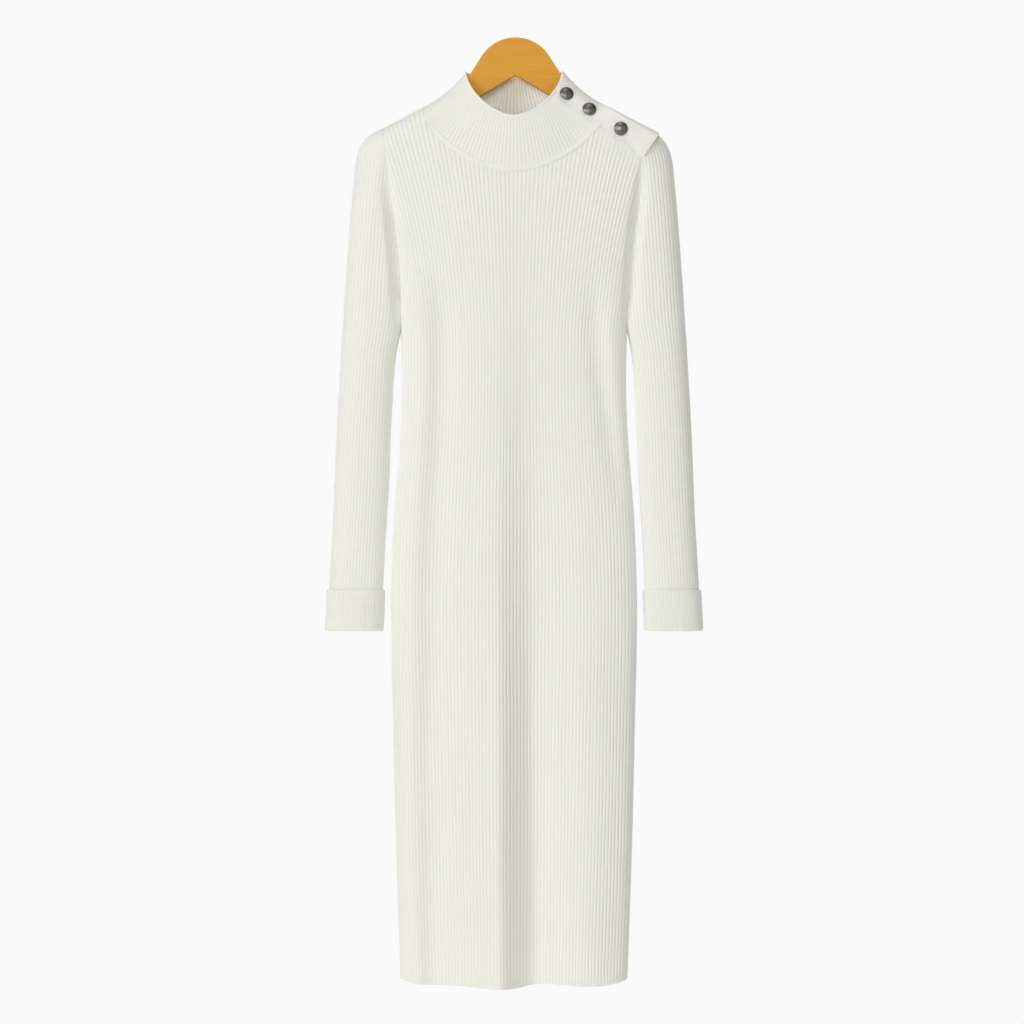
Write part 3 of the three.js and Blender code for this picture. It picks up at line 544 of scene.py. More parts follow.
@dataclass
class Shell:
    """A closed wall between an outer and an inner grid of the same rows and columns.

    Attributes:
        name: Name of the piece.
        outer: Rows of points in millimetres.
        inner: Rows of points in millimetres.
        ribs: Count of ribs at each column, and at the end of the last one on a tube.
        stitches: Count of stitch rows at each point, as a grid or a column of rows.
        is_tube: Whether the last column joins the first.
        relief: How clear the ribs are at each point, 0 where they are pressed flat.
    """

    name: str
    outer: np.ndarray
    inner: np.ndarray
    ribs: np.ndarray
    stitches: np.ndarray
    is_tube: bool
    relief: np.ndarray | float = 1.0

    def faces(self) -> tuple[np.ndarray, np.ndarray]:
        """Lists the four-sided faces.

        Returns:
            The faces by their points, and by their places in the grid of texture places.
        """
        rows, columns = self.outer.shape[:2]
        index = np.arange(rows * columns).reshape(rows, columns)
        if self.is_tube:
            index = np.concatenate([index, index[:, :1]], axis=1)
        place = np.arange(index.size).reshape(index.shape)
        both = []
        for grid, inside in ((index, rows * columns), (place, 0)):
            corners = (grid[:-1, :-1], grid[1:, :-1], grid[1:, 1:], grid[:-1, 1:])
            outer = np.stack([c.ravel() for c in corners], axis=1)
            inner = outer[:, ::-1] + inside
            top = np.stack([grid[0, :-1], grid[0, 1:], grid[0, 1:] + inside, grid[0, :-1] + inside], 1)
            last = grid[-1]
            low = np.stack([last[1:], last[:-1], last[:-1] + inside, last[1:] + inside], 1)
            parts = [outer, inner, top, low]
            if not self.is_tube:
                for edge, turn in ((grid[:, 0], 1), (grid[:, -1], -1)):
                    ends = np.stack([edge[1:], edge[:-1], edge[:-1] + inside, edge[1:] + inside], 1)
                    parts.append(ends[:, ::turn])
            both.append(np.concatenate(parts))
        return both[0], both[1]

    def build(self) -> bpy.types.Object:
        """Makes the piece with its knit map, its faces turned outwards.

        Returns:
            The piece.
        """
        faces, places = self.faces()
        vertices = np.concatenate([self.outer.reshape(-1, 3), self.inner.reshape(-1, 3)]) * MM
        a, b, c, d = (vertices[faces[:, k]] for k in range(4))
        volume = np.sum(a * np.cross(b, c)) + np.sum(a * np.cross(c, d))
        if volume < 0:
            faces = faces[:, ::-1]
            places = places[:, ::-1]
        mesh = bpy.data.meshes.new(f"{self.name}_cloth")
        mesh.from_pydata(vertices.tolist(), [], faces.tolist())
        rows, columns = self.outer.shape[:2]
        wide = columns + 1 if self.is_tube else columns
        stitches = np.broadcast_to(self.stitches, (rows, columns))
        if self.is_tube:
            stitches = np.concatenate([stitches, stitches[:, :1]], axis=1)
        where = np.stack([np.broadcast_to(self.ribs, (rows, wide)), stitches], axis=-1).reshape(-1, 2)
        knit_map = mesh.uv_layers.new(name="knit")
        knit_map.data.foreach_set("uv", where[places.ravel()].astype(np.float32).ravel())
        relief = np.broadcast_to(self.relief, (rows, columns)).ravel()
        # The inside share marks the inner faces, which the knit colours paler as painted light
        inside = np.repeat([0.0, 1.0], rows * columns)
        for word, values in (("relief", np.tile(relief, 2)), ("inside", inside)):
            share = mesh.attributes.new(word, "FLOAT", "POINT")
            share.data.foreach_set("value", values.astype(np.float32))
        walls = 2 * (rows - 1) * (columns if self.is_tube else columns - 1)
        mesh.polygons.foreach_set("use_smooth", np.arange(len(mesh.polygons)) < walls)
        mesh.update()
        piece = bpy.data.objects.new(f"{self.name}_cloth", mesh)
        bpy.context.scene.collection.objects.link(piece)
        return piece


def walled(
    name: str,
    base: np.ndarray,
    normals: np.ndarray,
    ribs: np.ndarray,
    share: np.ndarray,
    is_tube: bool,
    raised: np.ndarray | float = 0.0,
    wall: float = WALL,
    rise: float = RIB_RISE,
) -> Shell:
    """Raises ribs on a surface and gives it a wall.

    Args:
        name: Name of the piece.
        base: The surface at the level of its grooves, as rows of points.
        normals: Its outward directions.
        ribs: Count of ribs at each column, and at the end of the last one on a tube.
        share: How far the ribs rise at each point, 0 to 1.
        is_tube: Whether the last column joins the first.
        raised: Extra height of the outer points.
        wall: Thickness under the grooves.
        rise: Height of the ribs.

    Returns:
        The shell.
    """
    columns = base.shape[1]
    shape = rib_shape(ribs[:columns])
    out = share * shape * rise + raised
    inwards = wall + share * (1 - shape) * INSIDE_RIB
    outer = base + normals * out[..., None]
    inner = base - normals * np.broadcast_to(inwards, base.shape[:2])[..., None]
    stitches = base[..., 2] / STITCH_ROW
    return Shell(name, outer, inner, ribs, stitches, is_tube, np.minimum(share, 1.0))


def set_inputs(node: bpy.types.Node, values: dict[str, object]) -> None:
    """Sets inputs of a node by their names."""
    for name, value in values.items():
        node.inputs[name].default_value = value


def plain_material(name: str, values: dict[str, object]) -> bpy.types.Material:
    """Makes a material with one shader.

    Args:
        name: Its name.
        values: The shader's inputs by name.

    Returns:
        The material.
    """
    made = bpy.data.materials.new(name)
    made.use_nodes = True
    set_inputs(made.node_tree.nodes["Principled BSDF"], values)
    return made


class Tone(NamedTuple):
    """A colour, and where along the grain it is reached."""

    at: float
    color: tuple[float, float, float]


def add_grain(
    material: bpy.types.Material,
    tones: Sequence[Tone],
    noise: dict[str, object],
    stretch: tuple[float, float, float] | None = None,
) -> None:
    """Colours a material by fine noise.

    Args:
        material: The material.
        tones: The two colours that the noise runs between.
        noise: The noise's inputs by name.
        stretch: Fineness of the noise along each axis, where it isn't even.
    """
    nodes = material.node_tree.nodes
    links = material.node_tree.links
    place = nodes.new("ShaderNodeTexCoord").outputs["Object"]
    if stretch is not None:
        mapping = nodes.new("ShaderNodeMapping")
        set_inputs(mapping, {"Scale": stretch})
        links.new(place, mapping.inputs["Vector"])
        place = mapping.outputs["Vector"]
    grain = nodes.new("ShaderNodeTexNoise")
    set_inputs(grain, noise)
    ramp = nodes.new("ShaderNodeValToRGB")
    for element, tone in zip(ramp.color_ramp.elements, tones):
        element.position = tone.at
        element.color = (*tone.color, 1)
    links.new(place, grain.inputs["Vector"])
    links.new(grain.outputs["Fac"], ramp.inputs["Fac"])
    links.new(ramp.outputs["Color"], nodes["Principled BSDF"].inputs["Base Color"])


@dataclass(frozen=True)
class KnitFinish:
    """Soft matt yarn, in ribs and stitches.

    Attributes:
        name: Name of the material.
        tint: Colour of the yarn on a rib.
        groove_shade: Painted shade in the grooves: the colour that they are darkened to.
        stitch: Height of a stitch in metres.
        groove_shade_share: How much of a rib's width the painted groove shade takes.
        inside_painted_light: Painted light: a paler colour for the inner faces, brighter than the outside,
            that stands in for light reaching the shaded inside of the collar.
    """

    name: str
    tint: tuple[float, float, float]
    groove_shade: tuple[float, float, float]
    stitch: float
    groove_shade_share: float
    inside_painted_light: tuple[float, float, float] = (0.975, 0.972, 0.915)

    def material(self) -> bpy.types.Material:
        """Makes the material.

        Returns:
            The material.
        """
        yarn = {
            "Roughness": 0.92,
            "Specular IOR Level": 0.2,
            "Subsurface Weight": 0.45,
            "Subsurface Radius": (1.0, 0.95, 0.8),
            "Subsurface Scale": 0.0025,
            "Sheen Weight": 0.2,
            "Sheen Roughness": 0.6,
        }
        made = plain_material(self.name, yarn)
        nodes = made.node_tree.nodes
        links = made.node_tree.links
        shader = nodes["Principled BSDF"]
        knit = nodes.new("ShaderNodeGroup")
        knit.node_tree = knit_group()
        # Rib colour, the painted shade of the grooves, and the paler inside colour that is painted light
        for part, color in (("Rib", self.tint), ("Groove", self.groove_shade), ("Inside", self.inside_painted_light)):
            set_inputs(knit, {f"{part} Color": (*color, 1)})
        set_inputs(knit, {"Groove Share": self.groove_shade_share})
        bump = nodes.new("ShaderNodeBump")
        set_inputs(bump, {"Strength": 1.0, "Distance": self.stitch})
        links.new(knit.outputs["Color"], shader.inputs["Base Color"])
        links.new(knit.outputs["Height"], bump.inputs["Height"])
        links.new(bump.outputs["Normal"], shader.inputs["Normal"])
        return made


def math_node(
    tree: bpy.types.NodeTree, operation: str, first: object, second: object = None
) -> bpy.types.NodeSocket:
    """Adds a Math node.

    Args:
        tree: The node tree to add it to.
        operation: What it works out.
        first: A socket or a number.
        second: A socket or a number, or None where the operation takes one.

    Returns:
        Its output.
    """
    node = tree.nodes.new("ShaderNodeMath")
    node.operation = operation
    for socket, value in zip(node.inputs, (first, second)):
        if isinstance(value, bpy.types.NodeSocket):
            tree.links.new(value, socket)
        elif value is not None:
            socket.default_value = value
    return node.outputs[0]


def mixed_color(
    tree: bpy.types.NodeTree,
    share: bpy.types.NodeSocket,
    first: bpy.types.NodeSocket,
    second: bpy.types.NodeSocket,
) -> bpy.types.NodeSocket:
    """Adds a node that mixes two colours.

    Args:
        tree: The node tree to add it to.
        share: The second colour's share.
        first: The first colour.
        second: The second colour.

    Returns:
        Its output.
    """
    mix = tree.nodes.new("ShaderNodeMix")
    mix.data_type = "RGBA"
    tree.links.new(share, mix.inputs["Factor"])
    tree.links.new(first, mix.inputs["A"])
    tree.links.new(second, mix.inputs["B"])
    return mix.outputs["Result"]


# Height of the fluff and the stitches as shares of the bump, and how far a stitch climbs a rib
FLUFF_HEIGHT = 1.2
STITCH_HEIGHT = 0.5
STITCH_CLIMB = 0.8


def knit_group() -> bpy.types.NodeTree:
    """Makes the shared knit effect: colour by rib, with painted shade in the grooves and painted light on
    the inner faces, and the height of the stitches.

    Returns:
        The node group, the same one at every call.
    """
    name = "knit_stitches"
    if name in bpy.data.node_groups:
        return bpy.data.node_groups[name]
    tree = bpy.data.node_groups.new(name, "ShaderNodeTree")
    for title in ("Rib Color", "Groove Color", "Inside Color"):
        tree.interface.new_socket(title, in_out="INPUT", socket_type="NodeSocketColor")
    tree.interface.new_socket("Groove Share", in_out="INPUT", socket_type="NodeSocketFloat")
    tree.interface.new_socket("Color", in_out="OUTPUT", socket_type="NodeSocketColor")
    tree.interface.new_socket("Height", in_out="OUTPUT", socket_type="NodeSocketFloat")
    given = tree.nodes.new("NodeGroupInput")
    result = tree.nodes.new("NodeGroupOutput")
    where = tree.nodes.new("ShaderNodeUVMap")
    where.uv_map = "knit"
    parts = tree.nodes.new("ShaderNodeSeparateXYZ")
    tree.links.new(where.outputs[0], parts.inputs[0])
    across = math_node(tree, "FRACT", parts.outputs["X"])
    centred = math_node(tree, "SUBTRACT", across, 0.5)
    from_crest = math_node(tree, "MULTIPLY", math_node(tree, "ABSOLUTE", centred), 2.0)
    # Stitches: a row of arrowheads that climbs each rib
    climb = math_node(tree, "MULTIPLY", from_crest, STITCH_CLIMB)
    phase = math_node(tree, "ADD", parts.outputs["Y"], climb)
    wave = math_node(tree, "SINE", math_node(tree, "MULTIPLY", phase, 2 * math.pi))
    # Fluff: fine uneven grain of the yarn
    place = tree.nodes.new("ShaderNodeTexCoord")
    fluff = tree.nodes.new("ShaderNodeTexNoise")
    set_inputs(fluff, {"Scale": 900.0, "Detail": 3.0})
    tree.links.new(place.outputs["Object"], fluff.inputs["Vector"])
    grain = math_node(tree, "MULTIPLY", fluff.outputs["Fac"], FLUFF_HEIGHT)
    height = math_node(tree, "ADD", math_node(tree, "MULTIPLY", wave, STITCH_HEIGHT), grain)
    tree.links.new(height, result.inputs["Height"])
    # Colour: painted shade that darkens the grooves, a little uneven along them
    edge = math_node(tree, "SUBTRACT", 1.0, given.outputs["Groove Share"])
    depth = math_node(tree, "SUBTRACT", from_crest, edge)
    relief = tree.nodes.new("ShaderNodeAttribute")
    relief.attribute_name = "relief"
    groove_shade = math_node(tree, "DIVIDE", depth, given.outputs["Groove Share"])
    groove_shade_mask = math_node(tree, "MULTIPLY", groove_shade, relief.outputs["Fac"])
    uneven = math_node(tree, "MULTIPLY", math_node(tree, "MAXIMUM", groove_shade_mask, 0.0), fluff.outputs["Fac"])
    clear = math_node(tree, "MINIMUM", math_node(tree, "MULTIPLY", uneven, 2.0), 1.0)
    # Painted light: the inner faces take the paler inside colour, brighter than the outside
    inside = tree.nodes.new("ShaderNodeAttribute")
    inside.attribute_name = "inside"
    outside = given.outputs["Rib Color"]
    crest = mixed_color(tree, inside.outputs["Fac"], outside, given.outputs["Inside Color"])
    color = mixed_color(tree, clear, crest, given.outputs["Groove Color"])
    tree.links.new(color, result.inputs["Color"])
    return tree


@dataclass(frozen=True)
class MetalFinish:
    """Dulled, dark polished metal.

    Attributes:
        name: Name of the material.
        color: Colour of the metal.
        roughness: How dull it is.
        worn: Brightness of its darker spots.
        bright: Brightness of its lighter spots.
    """

    name: str
    color: tuple[float, float, float]
    roughness: float
    worn: float = 0.72
    bright: float = 1.2

    def material(self) -> bpy.types.Material:
        """Makes the material.

        Returns:
            The material.
        """
        made = plain_material(self.name, {"Metallic": 1.0, "Roughness": self.roughness})
        worn = Tone(0.3, tuple(c * self.worn for c in self.color))
        bright = Tone(0.7, tuple(c * self.bright for c in self.color))
        add_grain(made, (worn, bright), {"Scale": 380.0, "Detail": 4.0})
        return made


@dataclass(frozen=True)
class WoodFinish:
    """Lacquered wood with fine grain along the board.

    Attributes:
        name: Name of the material.
        light: Colour between the grain's lines.
        dark: Colour of the grain's lines.
        along_board: Fineness of the grain along each axis.
    """

    name: str
    light: tuple[float, float, float]
    dark: tuple[float, float, float]
    along_board: tuple[float, float, float] = (9.0, 60.0, 110.0)

    def material(self) -> bpy.types.Material:
        """Makes the material.

        Returns:
            The material.
        """
        made = plain_material(self.name, {"Roughness": 0.55, "Specular IOR Level": 0.22})
        tones = (Tone(0.32, self.dark), Tone(0.68, self.light))
        add_grain(made, tones, {"Scale": 1.6, "Detail": 6.0, "Roughness": 0.6}, self.along_board)
        return made


# Each knit's second colour is painted shade in its grooves; both take the paler default inside colour as
# painted light on their inner faces
KNIT = KnitFinish("off_white_rib_knit", (0.81, 0.814, 0.76), (0.72, 0.72, 0.65), 0.00015, 0.32)
FINE_KNIT = KnitFinish("off_white_fine_knit", (0.825, 0.82, 0.772), (0.805, 0.8, 0.755), 0.00006, 0.5)
GUNMETAL = MetalFinish("gunmetal", (0.21, 0.205, 0.19), 0.44)
HONEY_WOOD = WoodFinish("honey_wood", (0.68, 0.325, 0.034), (0.63, 0.29, 0.028))


def dress_piece(
    piece: bpy.types.Object, material: bpy.types.Material, nodes: Sequence[str]
) -> bpy.types.Object:
    """Gives a piece its material and its place in the part.

    Args:
        piece: The piece.
        material: Its material.
        nodes: The part's nodes that it stands for.

    Returns:
        The piece.
    """
    piece.data.materials.clear()
    piece.data.materials.append(material)
    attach(piece, "root")
    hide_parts(*nodes)
    log.info("%s: %d faces", piece.name, len(piece.data.polygons))
    return piece


@dataclass
class Panel:
    """The front or the back of the dress, from the shoulders to the hem.

    Attributes:
        node: The part's node that it stands for.
        side: Which way it faces.
        neck: Its neckline.
        hem: Its lower edge.
        ribs: Ribs over its whole width.
        near: Drops below its upper edge, where seams are shaped.
        far_rows: Rows over the rest of the way to the hem.
        flat_margin: Width beside the armhole over which the ribs rise, from arm_edge on.
        arm_edge: Width beside the armhole with no rib.
        shoulder_edge: Where the ribs start and are full below the shoulder's seam.
        neck_edge: Drop below the neckline over which they rise.
        neck_share: Height of the ribs on the neckline.
        hem_edge: Height over the hem over which they rise.
        hem_share: Height of the ribs on the hem.
        band_aside: How far beside the band's start the ribs are pressed by it too.
        band_edge: Where the ribs start and are full below the placket band.
        chest_share: Height of the ribs where they are closest, as a share of their own.
        hem_rows: The last rows' heights over the hem.
        hem_turn: How far the hem turns in, and over what height.
        wander: Waves by which the ribs sway: size as a share of the half width,
            millimetres down to a radian, and radians over the half width.
        wander_edge: Share of the half width, and drop, over which they start to sway.
    """

    node: str
    side: Side
    neck: Sag
    hem: Sequence[Spot]
    ribs: int = 76
    near: tuple[float, ...] = (0, 0.8, 2, 3.5, 5.5, 8.5, 13, 20)
    far_rows: int = 84
    flat_margin: float = 5.0
    arm_edge: float = 0.6
    shoulder_edge: tuple[float, float] = (0.3, 3.0)
    neck_edge: float = 2.0
    neck_share: float = 0.4
    hem_edge: float = 2.5
    hem_share: float = 0.35
    band_aside: float = 12.0
    band_edge: tuple[float, float] = (-1.0, 14.0)
    chest_share: float = 0.85
    hem_rows: tuple[float, float, float] = (2.5, 1.0, 0.0)
    hem_turn: tuple[float, float] = (0.45, 2.2)
    wander: tuple[tuple[float, float, float], ...] = ((0.0016, 83, 9), (0.0011, 37, -23))
    wander_edge: tuple[float, float] = (0.1, 60)

    def is_cloth(self, x: np.ndarray, z: np.ndarray) -> np.ndarray:
        """Says whether places on the front view are inside the panel's upper edge.

        Args:
            x: The places.
            z: Their heights.

        Returns:
            True or false for each.
        """
        in_arm = (z > UNDERARM) & (np.abs(x) > armhole_half(z))
        over_neck = z > sag_z(x, NECK_HALF, float(shoulder_z(NECK_HALF)), self.neck)
        return ~in_arm & (z <= shoulder_z(x)) & ((np.abs(x) >= NECK_HALF) | ~over_neck)

    def tops(self, across: np.ndarray) -> np.ndarray:
        """Finds the height at which columns end on the armhole, the shoulder or the neck.

        Args:
            across: Each column's share of the half width.

        Returns:
            The height of each.
        """
        low = np.full(across.shape, UNDERARM)
        high = np.full(across.shape, SHOULDER_PEAK)
        return highest(low, high, lambda z: self.is_cloth(across * body_spread(z), z))

    def rib_share(self, x: np.ndarray, z: np.ndarray, bottom: np.ndarray) -> np.ndarray:
        """Works out how far the ribs rise, from 0 beside a seam.

        Args:
            x: Places on the front view.
            z: Their heights.
            bottom: Height of the hem below them.

        Returns:
            The share of a full rib at each place.
        """
        to_arm = np.where(z > UNDERARM, armhole_half(z) - np.abs(x), self.flat_margin)
        share = ease(to_arm, self.arm_edge, self.flat_margin)
        share = share * ease((shoulder_z(x) - z) * SHOULDER_COS, *self.shoulder_edge)
        to_neck = sag_z(x, NECK_HALF, float(shoulder_z(NECK_HALF)), self.neck) - z
        at_neck = at_least(self.neck_share, ease(to_neck, 0, self.neck_edge))
        share = share * np.where(np.abs(x) < NECK_HALF, at_neck, 1.0)
        share = share * at_least(self.hem_share, ease(z - bottom, 0, self.hem_edge))
        if self.side is Side.FRONT:
            beside = (x > BAND_LOW_START.x - self.band_aside) & (z > UNDERARM)
            share = share * np.where(beside, ease(below_band(x, z), *self.band_edge), 1.0)
        return share * self.chest_share * (body_spread(z) / BODY_TYPICAL.half) ** 2

    def build(self, material: bpy.types.Material) -> bpy.types.Object:
        """Makes the panel with its ribs and folds.

        Args:
            material: Its knit.

        Returns:
            The piece.
        """
        ribs = np.append(rib_columns(self.ribs), self.ribs)
        across, out = rounded_section(BODY_TYPICAL, BODY_SQUARENESS, ribs / self.ribs)
        top = self.tops(across)
        bottom = table_curve(self.hem, "x", "z")(across * BODY_TYPICAL.half)
        plain_end, *last = self.hem_rows
        rows = rows_down(top, self.near, self.far_rows, bottom + plain_end)
        z = np.concatenate([rows, [bottom + rise for rise in last]])
        wander = sum(size * np.sin(z / down + across * aside) for size, down, aside in self.wander)
        aside_edge, drop_edge = self.wander_edge
        free = ease(1 - np.abs(across), 0, aside_edge) * ease(top - z, 0, drop_edge)
        placed = across + wander * free
        x = placed * body_spread(z)
        base = points(x, self.side.value * body_reach(self.side, placed, out, x, z), z)
        outwards = points(across * 0.6, np.full(z.shape, float(self.side.value)), lying(x, z))
        normals = grid_normals(base, False, outwards)
        share = self.rib_share(x, z, bottom)
        turned_in, turn_height = self.hem_turn
        raised = -turned_in * (1 - ease(z - bottom, 0, turn_height))
        piece = walled(self.node, base, normals, ribs, share, False, raised).build()
        dress_piece(piece, material, [self.node])
        return piece


@dataclass
class Sleeve:
    """A long slim sleeve, set into the armhole.

    Attributes:
        node: The part's node that it stands for.
        hand: Which arm it is for.
        rib_height: Height of its ribs as a share of the dress's.
        ribs: Ribs round it.
        near: Drops below its upper edge.
        far_rows: Rows over the rest of the way to its end.
        settle: Length over which it takes its own section below the seam.
        rib_edge: Where the ribs start and are full below the seam.
        lean: How far its directions lean up above the underarm, where its cap is rounded.
        lean_rate: How quickly that starts, for each millimetre up.
    """

    node: str
    hand: Hand
    rib_height: float = 0.85
    ribs: int = 44
    near: tuple[float, ...] = (0, 0.8, 2, 3.5, 5.5, 8.5, 13, 20, 30)
    far_rows: int = 60
    settle: float = 60.0
    rib_edge: tuple[float, float] = (0.5, 5.0)
    lean: float = 8
    lean_rate: float = 0.2

    def section(self, ribs: np.ndarray) -> tuple[np.ndarray, np.ndarray]:
        """Stations round the sleeve from its outer fold over the front and round the back.

        Args:
            ribs: Counts of ribs round the sleeve.

        Returns:
            Each station's share of the half width, and of the half depth to the back.
        """
        turn = (ribs / self.ribs) % 1
        is_front = turn < 0.5
        from_edge = np.where(is_front, 1 - 2 * turn, 2 * turn - 1)
        across, out = rounded_section(SLEEVE_TYPICAL, SLEEVE_SQUARENESS, from_edge)
        return across, np.where(is_front, -out, out)

    def place(self, across: np.ndarray, back: np.ndarray, z: np.ndarray) -> np.ndarray:
        """Finds points of the sleeve's own surface.

        Args:
            across: Shares of the half width.
            back: Shares of the half depth, negative on the front.
            z: Heights.

        Returns:
            The points.
        """
        x = sleeve_x(across, z)
        drawn_in = arm_tuck(x - armhole_half(z), z, SLEEVE_TUCK_WIDTH)
        return points(x, back * (sleeve_depth(z) - drawn_in), z)

    def outwards(self, base: np.ndarray, z: np.ndarray) -> np.ndarray:
        """Directions from the sleeve's middle line to points of its surface."""
        middle = (sleeve_outer(z) + sleeve_inner(z)) / 2
        return base - points(middle, np.zeros(z.shape), z)

    def tops(self, across: np.ndarray) -> np.ndarray:
        """Finds the height at which columns end on the armhole.

        Args:
            across: Each column's share of the half width.

        Returns:
            The height of each.
        """
        low = np.full(across.shape, UNDERARM)
        high = np.full(across.shape, float(shoulder_z(SHOULDER_HALF)))
        return highest(low, high, lambda z: sleeve_x(across, z) > armhole_half(z) + SEAM_GAP)

    def seam(self, back: np.ndarray, top: np.ndarray) -> np.ndarray:
        """Finds the points of the armhole's edge that columns end on.

        Args:
            back: Each column's share of the half depth.
            top: Its height on the seam.

        Returns:
            The points.
        """
        x = armhole_half(top)
        front_edge = body_at(Side.FRONT, x, top)
        back_edge = body_at(Side.BACK, x, top)
        edge = np.where((back <= 0)[:, None], front_edge, back_edge)
        edge[:, 0] += SEAM_GAP
        edge[np.abs(back) < 1e-6, 1] = 0
        return edge

    def surface(self, ribs: np.ndarray) -> tuple[np.ndarray, np.ndarray, np.ndarray]:
        """Works out the sleeve at the level of its grooves.

        Args:
            ribs: Counts of ribs at its columns.

        Returns:
            Its points, its outward directions and the drop of each point below the seam.
        """
        across, back = self.section(ribs)
        top = self.tops(across)
        z = rows_down(top, self.near, self.far_rows, SLEEVE_END)
        base = self.place(across, back, z)
        shift = self.seam(back, top) - base[0]
        fading = np.clip(1 - (top - z) / self.settle, 0, 1) ** 2
        base += shift * fading[..., None]
        outwards = self.outwards(base, z)
        outwards[..., 2] += np.clip(self.lean_rate * (z - UNDERARM), 0, 1) * self.lean
        return base, grid_normals(base, True, outwards), top - z

    def build(self, material: bpy.types.Material) -> bpy.types.Object:
        """Makes the sleeve with its ribs.

        Args:
            material: Its knit.

        Returns:
            The piece.
        """
        ribs = rib_columns(self.ribs)
        base, normals, drop = self.surface(ribs)
        share = ease(drop, *self.rib_edge) * self.rib_height
        for grid in (base, normals):
            grid[..., 0] *= self.hand.value
        piece = walled(self.node, base, normals, np.append(ribs, self.ribs), share, True).build()
        dress_piece(piece, material, [self.node])
        return piece


class CuffRow(NamedTuple):
    """A row of the cuff: millimetres from its edge, share of its wall, and its relief."""

    away: float
    stand: float
    ribs: float


@dataclass
class Cuff:
    """A cuff turned up over the sleeve's end.

    Attributes:
        node: The part's node that it stands for.
        hand: Which arm it is for.
        top: Height of its loose edge.
        fold: How far its fold lies below the sleeve's end.
        ribs: Ribs round it.
        clear: From the sleeve's grooves to its inside.
        wall: Thickness under its grooves.
        rise: Height of its ribs.
        loose_edge: Rows down from its loose edge.
        plain_reach: Where its plain rows start below that edge, and end over the fold.
        plain_rows: Count of those rows.
        fold_edge: Rows down to the fold, by their height over it.
        tuck_in: How far the inner layer is drawn in at the fold.
    """

    node: str
    hand: Hand
    top: float = -689.5
    fold: float = 2.0
    ribs: int = 54
    clear: float = 1.5
    wall: float = 1.3
    rise: float = 0.46
    loose_edge: tuple[CuffRow, ...] = (
        CuffRow(0, 0.5, 0),
        CuffRow(0.5, 1.05, 0),
        CuffRow(1.6, 1.15, 0.05),
        CuffRow(2.8, 1, 0.35),
        CuffRow(4.5, 1, 1),
    )
    plain_reach: tuple[float, float] = (12, 7)
    plain_rows: int = 5
    fold_edge: tuple[CuffRow, ...] = (
        CuffRow(3.6, 1, 0.9),
        CuffRow(1.8, 0.85, 0.7),
        CuffRow(0.6, 0.4, 0.5),
        CuffRow(0, -0.3, 0.3),
    )
    tuck_in: float = 1.4

    def build(self, material: bpy.types.Material) -> bpy.types.Object:
        """Makes the cuff with its bound edge and its fold.

        Args:
            material: Its knit.

        Returns:
            The piece.
        """
        ribs = rib_columns(self.ribs)
        sleeve = Sleeve("", self.hand, ribs=self.ribs)
        across, back = sleeve.section(ribs)
        bottom = SLEEVE_END - self.fold
        below, over = self.plain_reach
        plain = np.linspace(self.top - below, bottom + over, self.plain_rows)
        outer_rows = [
            *[(self.top - row.away, row.stand, row.ribs) for row in self.loose_edge],
            *[(z, 1.0, 1.0) for z in plain],
            *[(bottom + row.away, row.stand, row.ribs) for row in self.fold_edge],
        ]
        inner_rows = [(z, 0.0, 0.0) for z, _, _ in outer_rows[:-2]]
        shape = rib_shape(ribs)
        grids = []
        for rows, stand in ((outer_rows, self.wall), (inner_rows, 0.0)):
            z = np.array([row[0] for row in rows])[:, None] + 0 * across
            base = sleeve.place(across, back, z)
            normals = grid_normals(base, True, sleeve.outwards(base, z))
            normals[..., 2] = 0
            lift = np.array([self.clear + row[1] * stand for row in rows])[:, None]
            lift = lift + np.array([row[2] for row in rows])[:, None] * shape * self.rise
            grids.append(base + unit(normals) * lift[..., None])
        outer, inner = grids
        foot = outer[-1] - (outer[-1] - inner[-1]) * np.array([self.tuck_in, self.tuck_in, 0])
        hidden = [inner[-1] + (foot - inner[-1]) * np.array([1, 1, t]) for t in (0.6, 1.0)]
        inner = np.concatenate([inner, np.stack(hidden)])
        for grid in (outer, inner):
            grid[..., 0] *= self.hand.value
        stitches = outer[..., 2] / STITCH_ROW
        piece = Shell(self.node, outer, inner, np.append(ribs, self.ribs), stitches, True).build()
        dress_piece(piece, material, [self.node])
        return piece


class CollarRow(NamedTuple):
    """A row of the collar: millimetres up from the seam or down from the rim, and its relief."""

    up: float
    raised: float
    ribs: float
    inside: float = 1.0


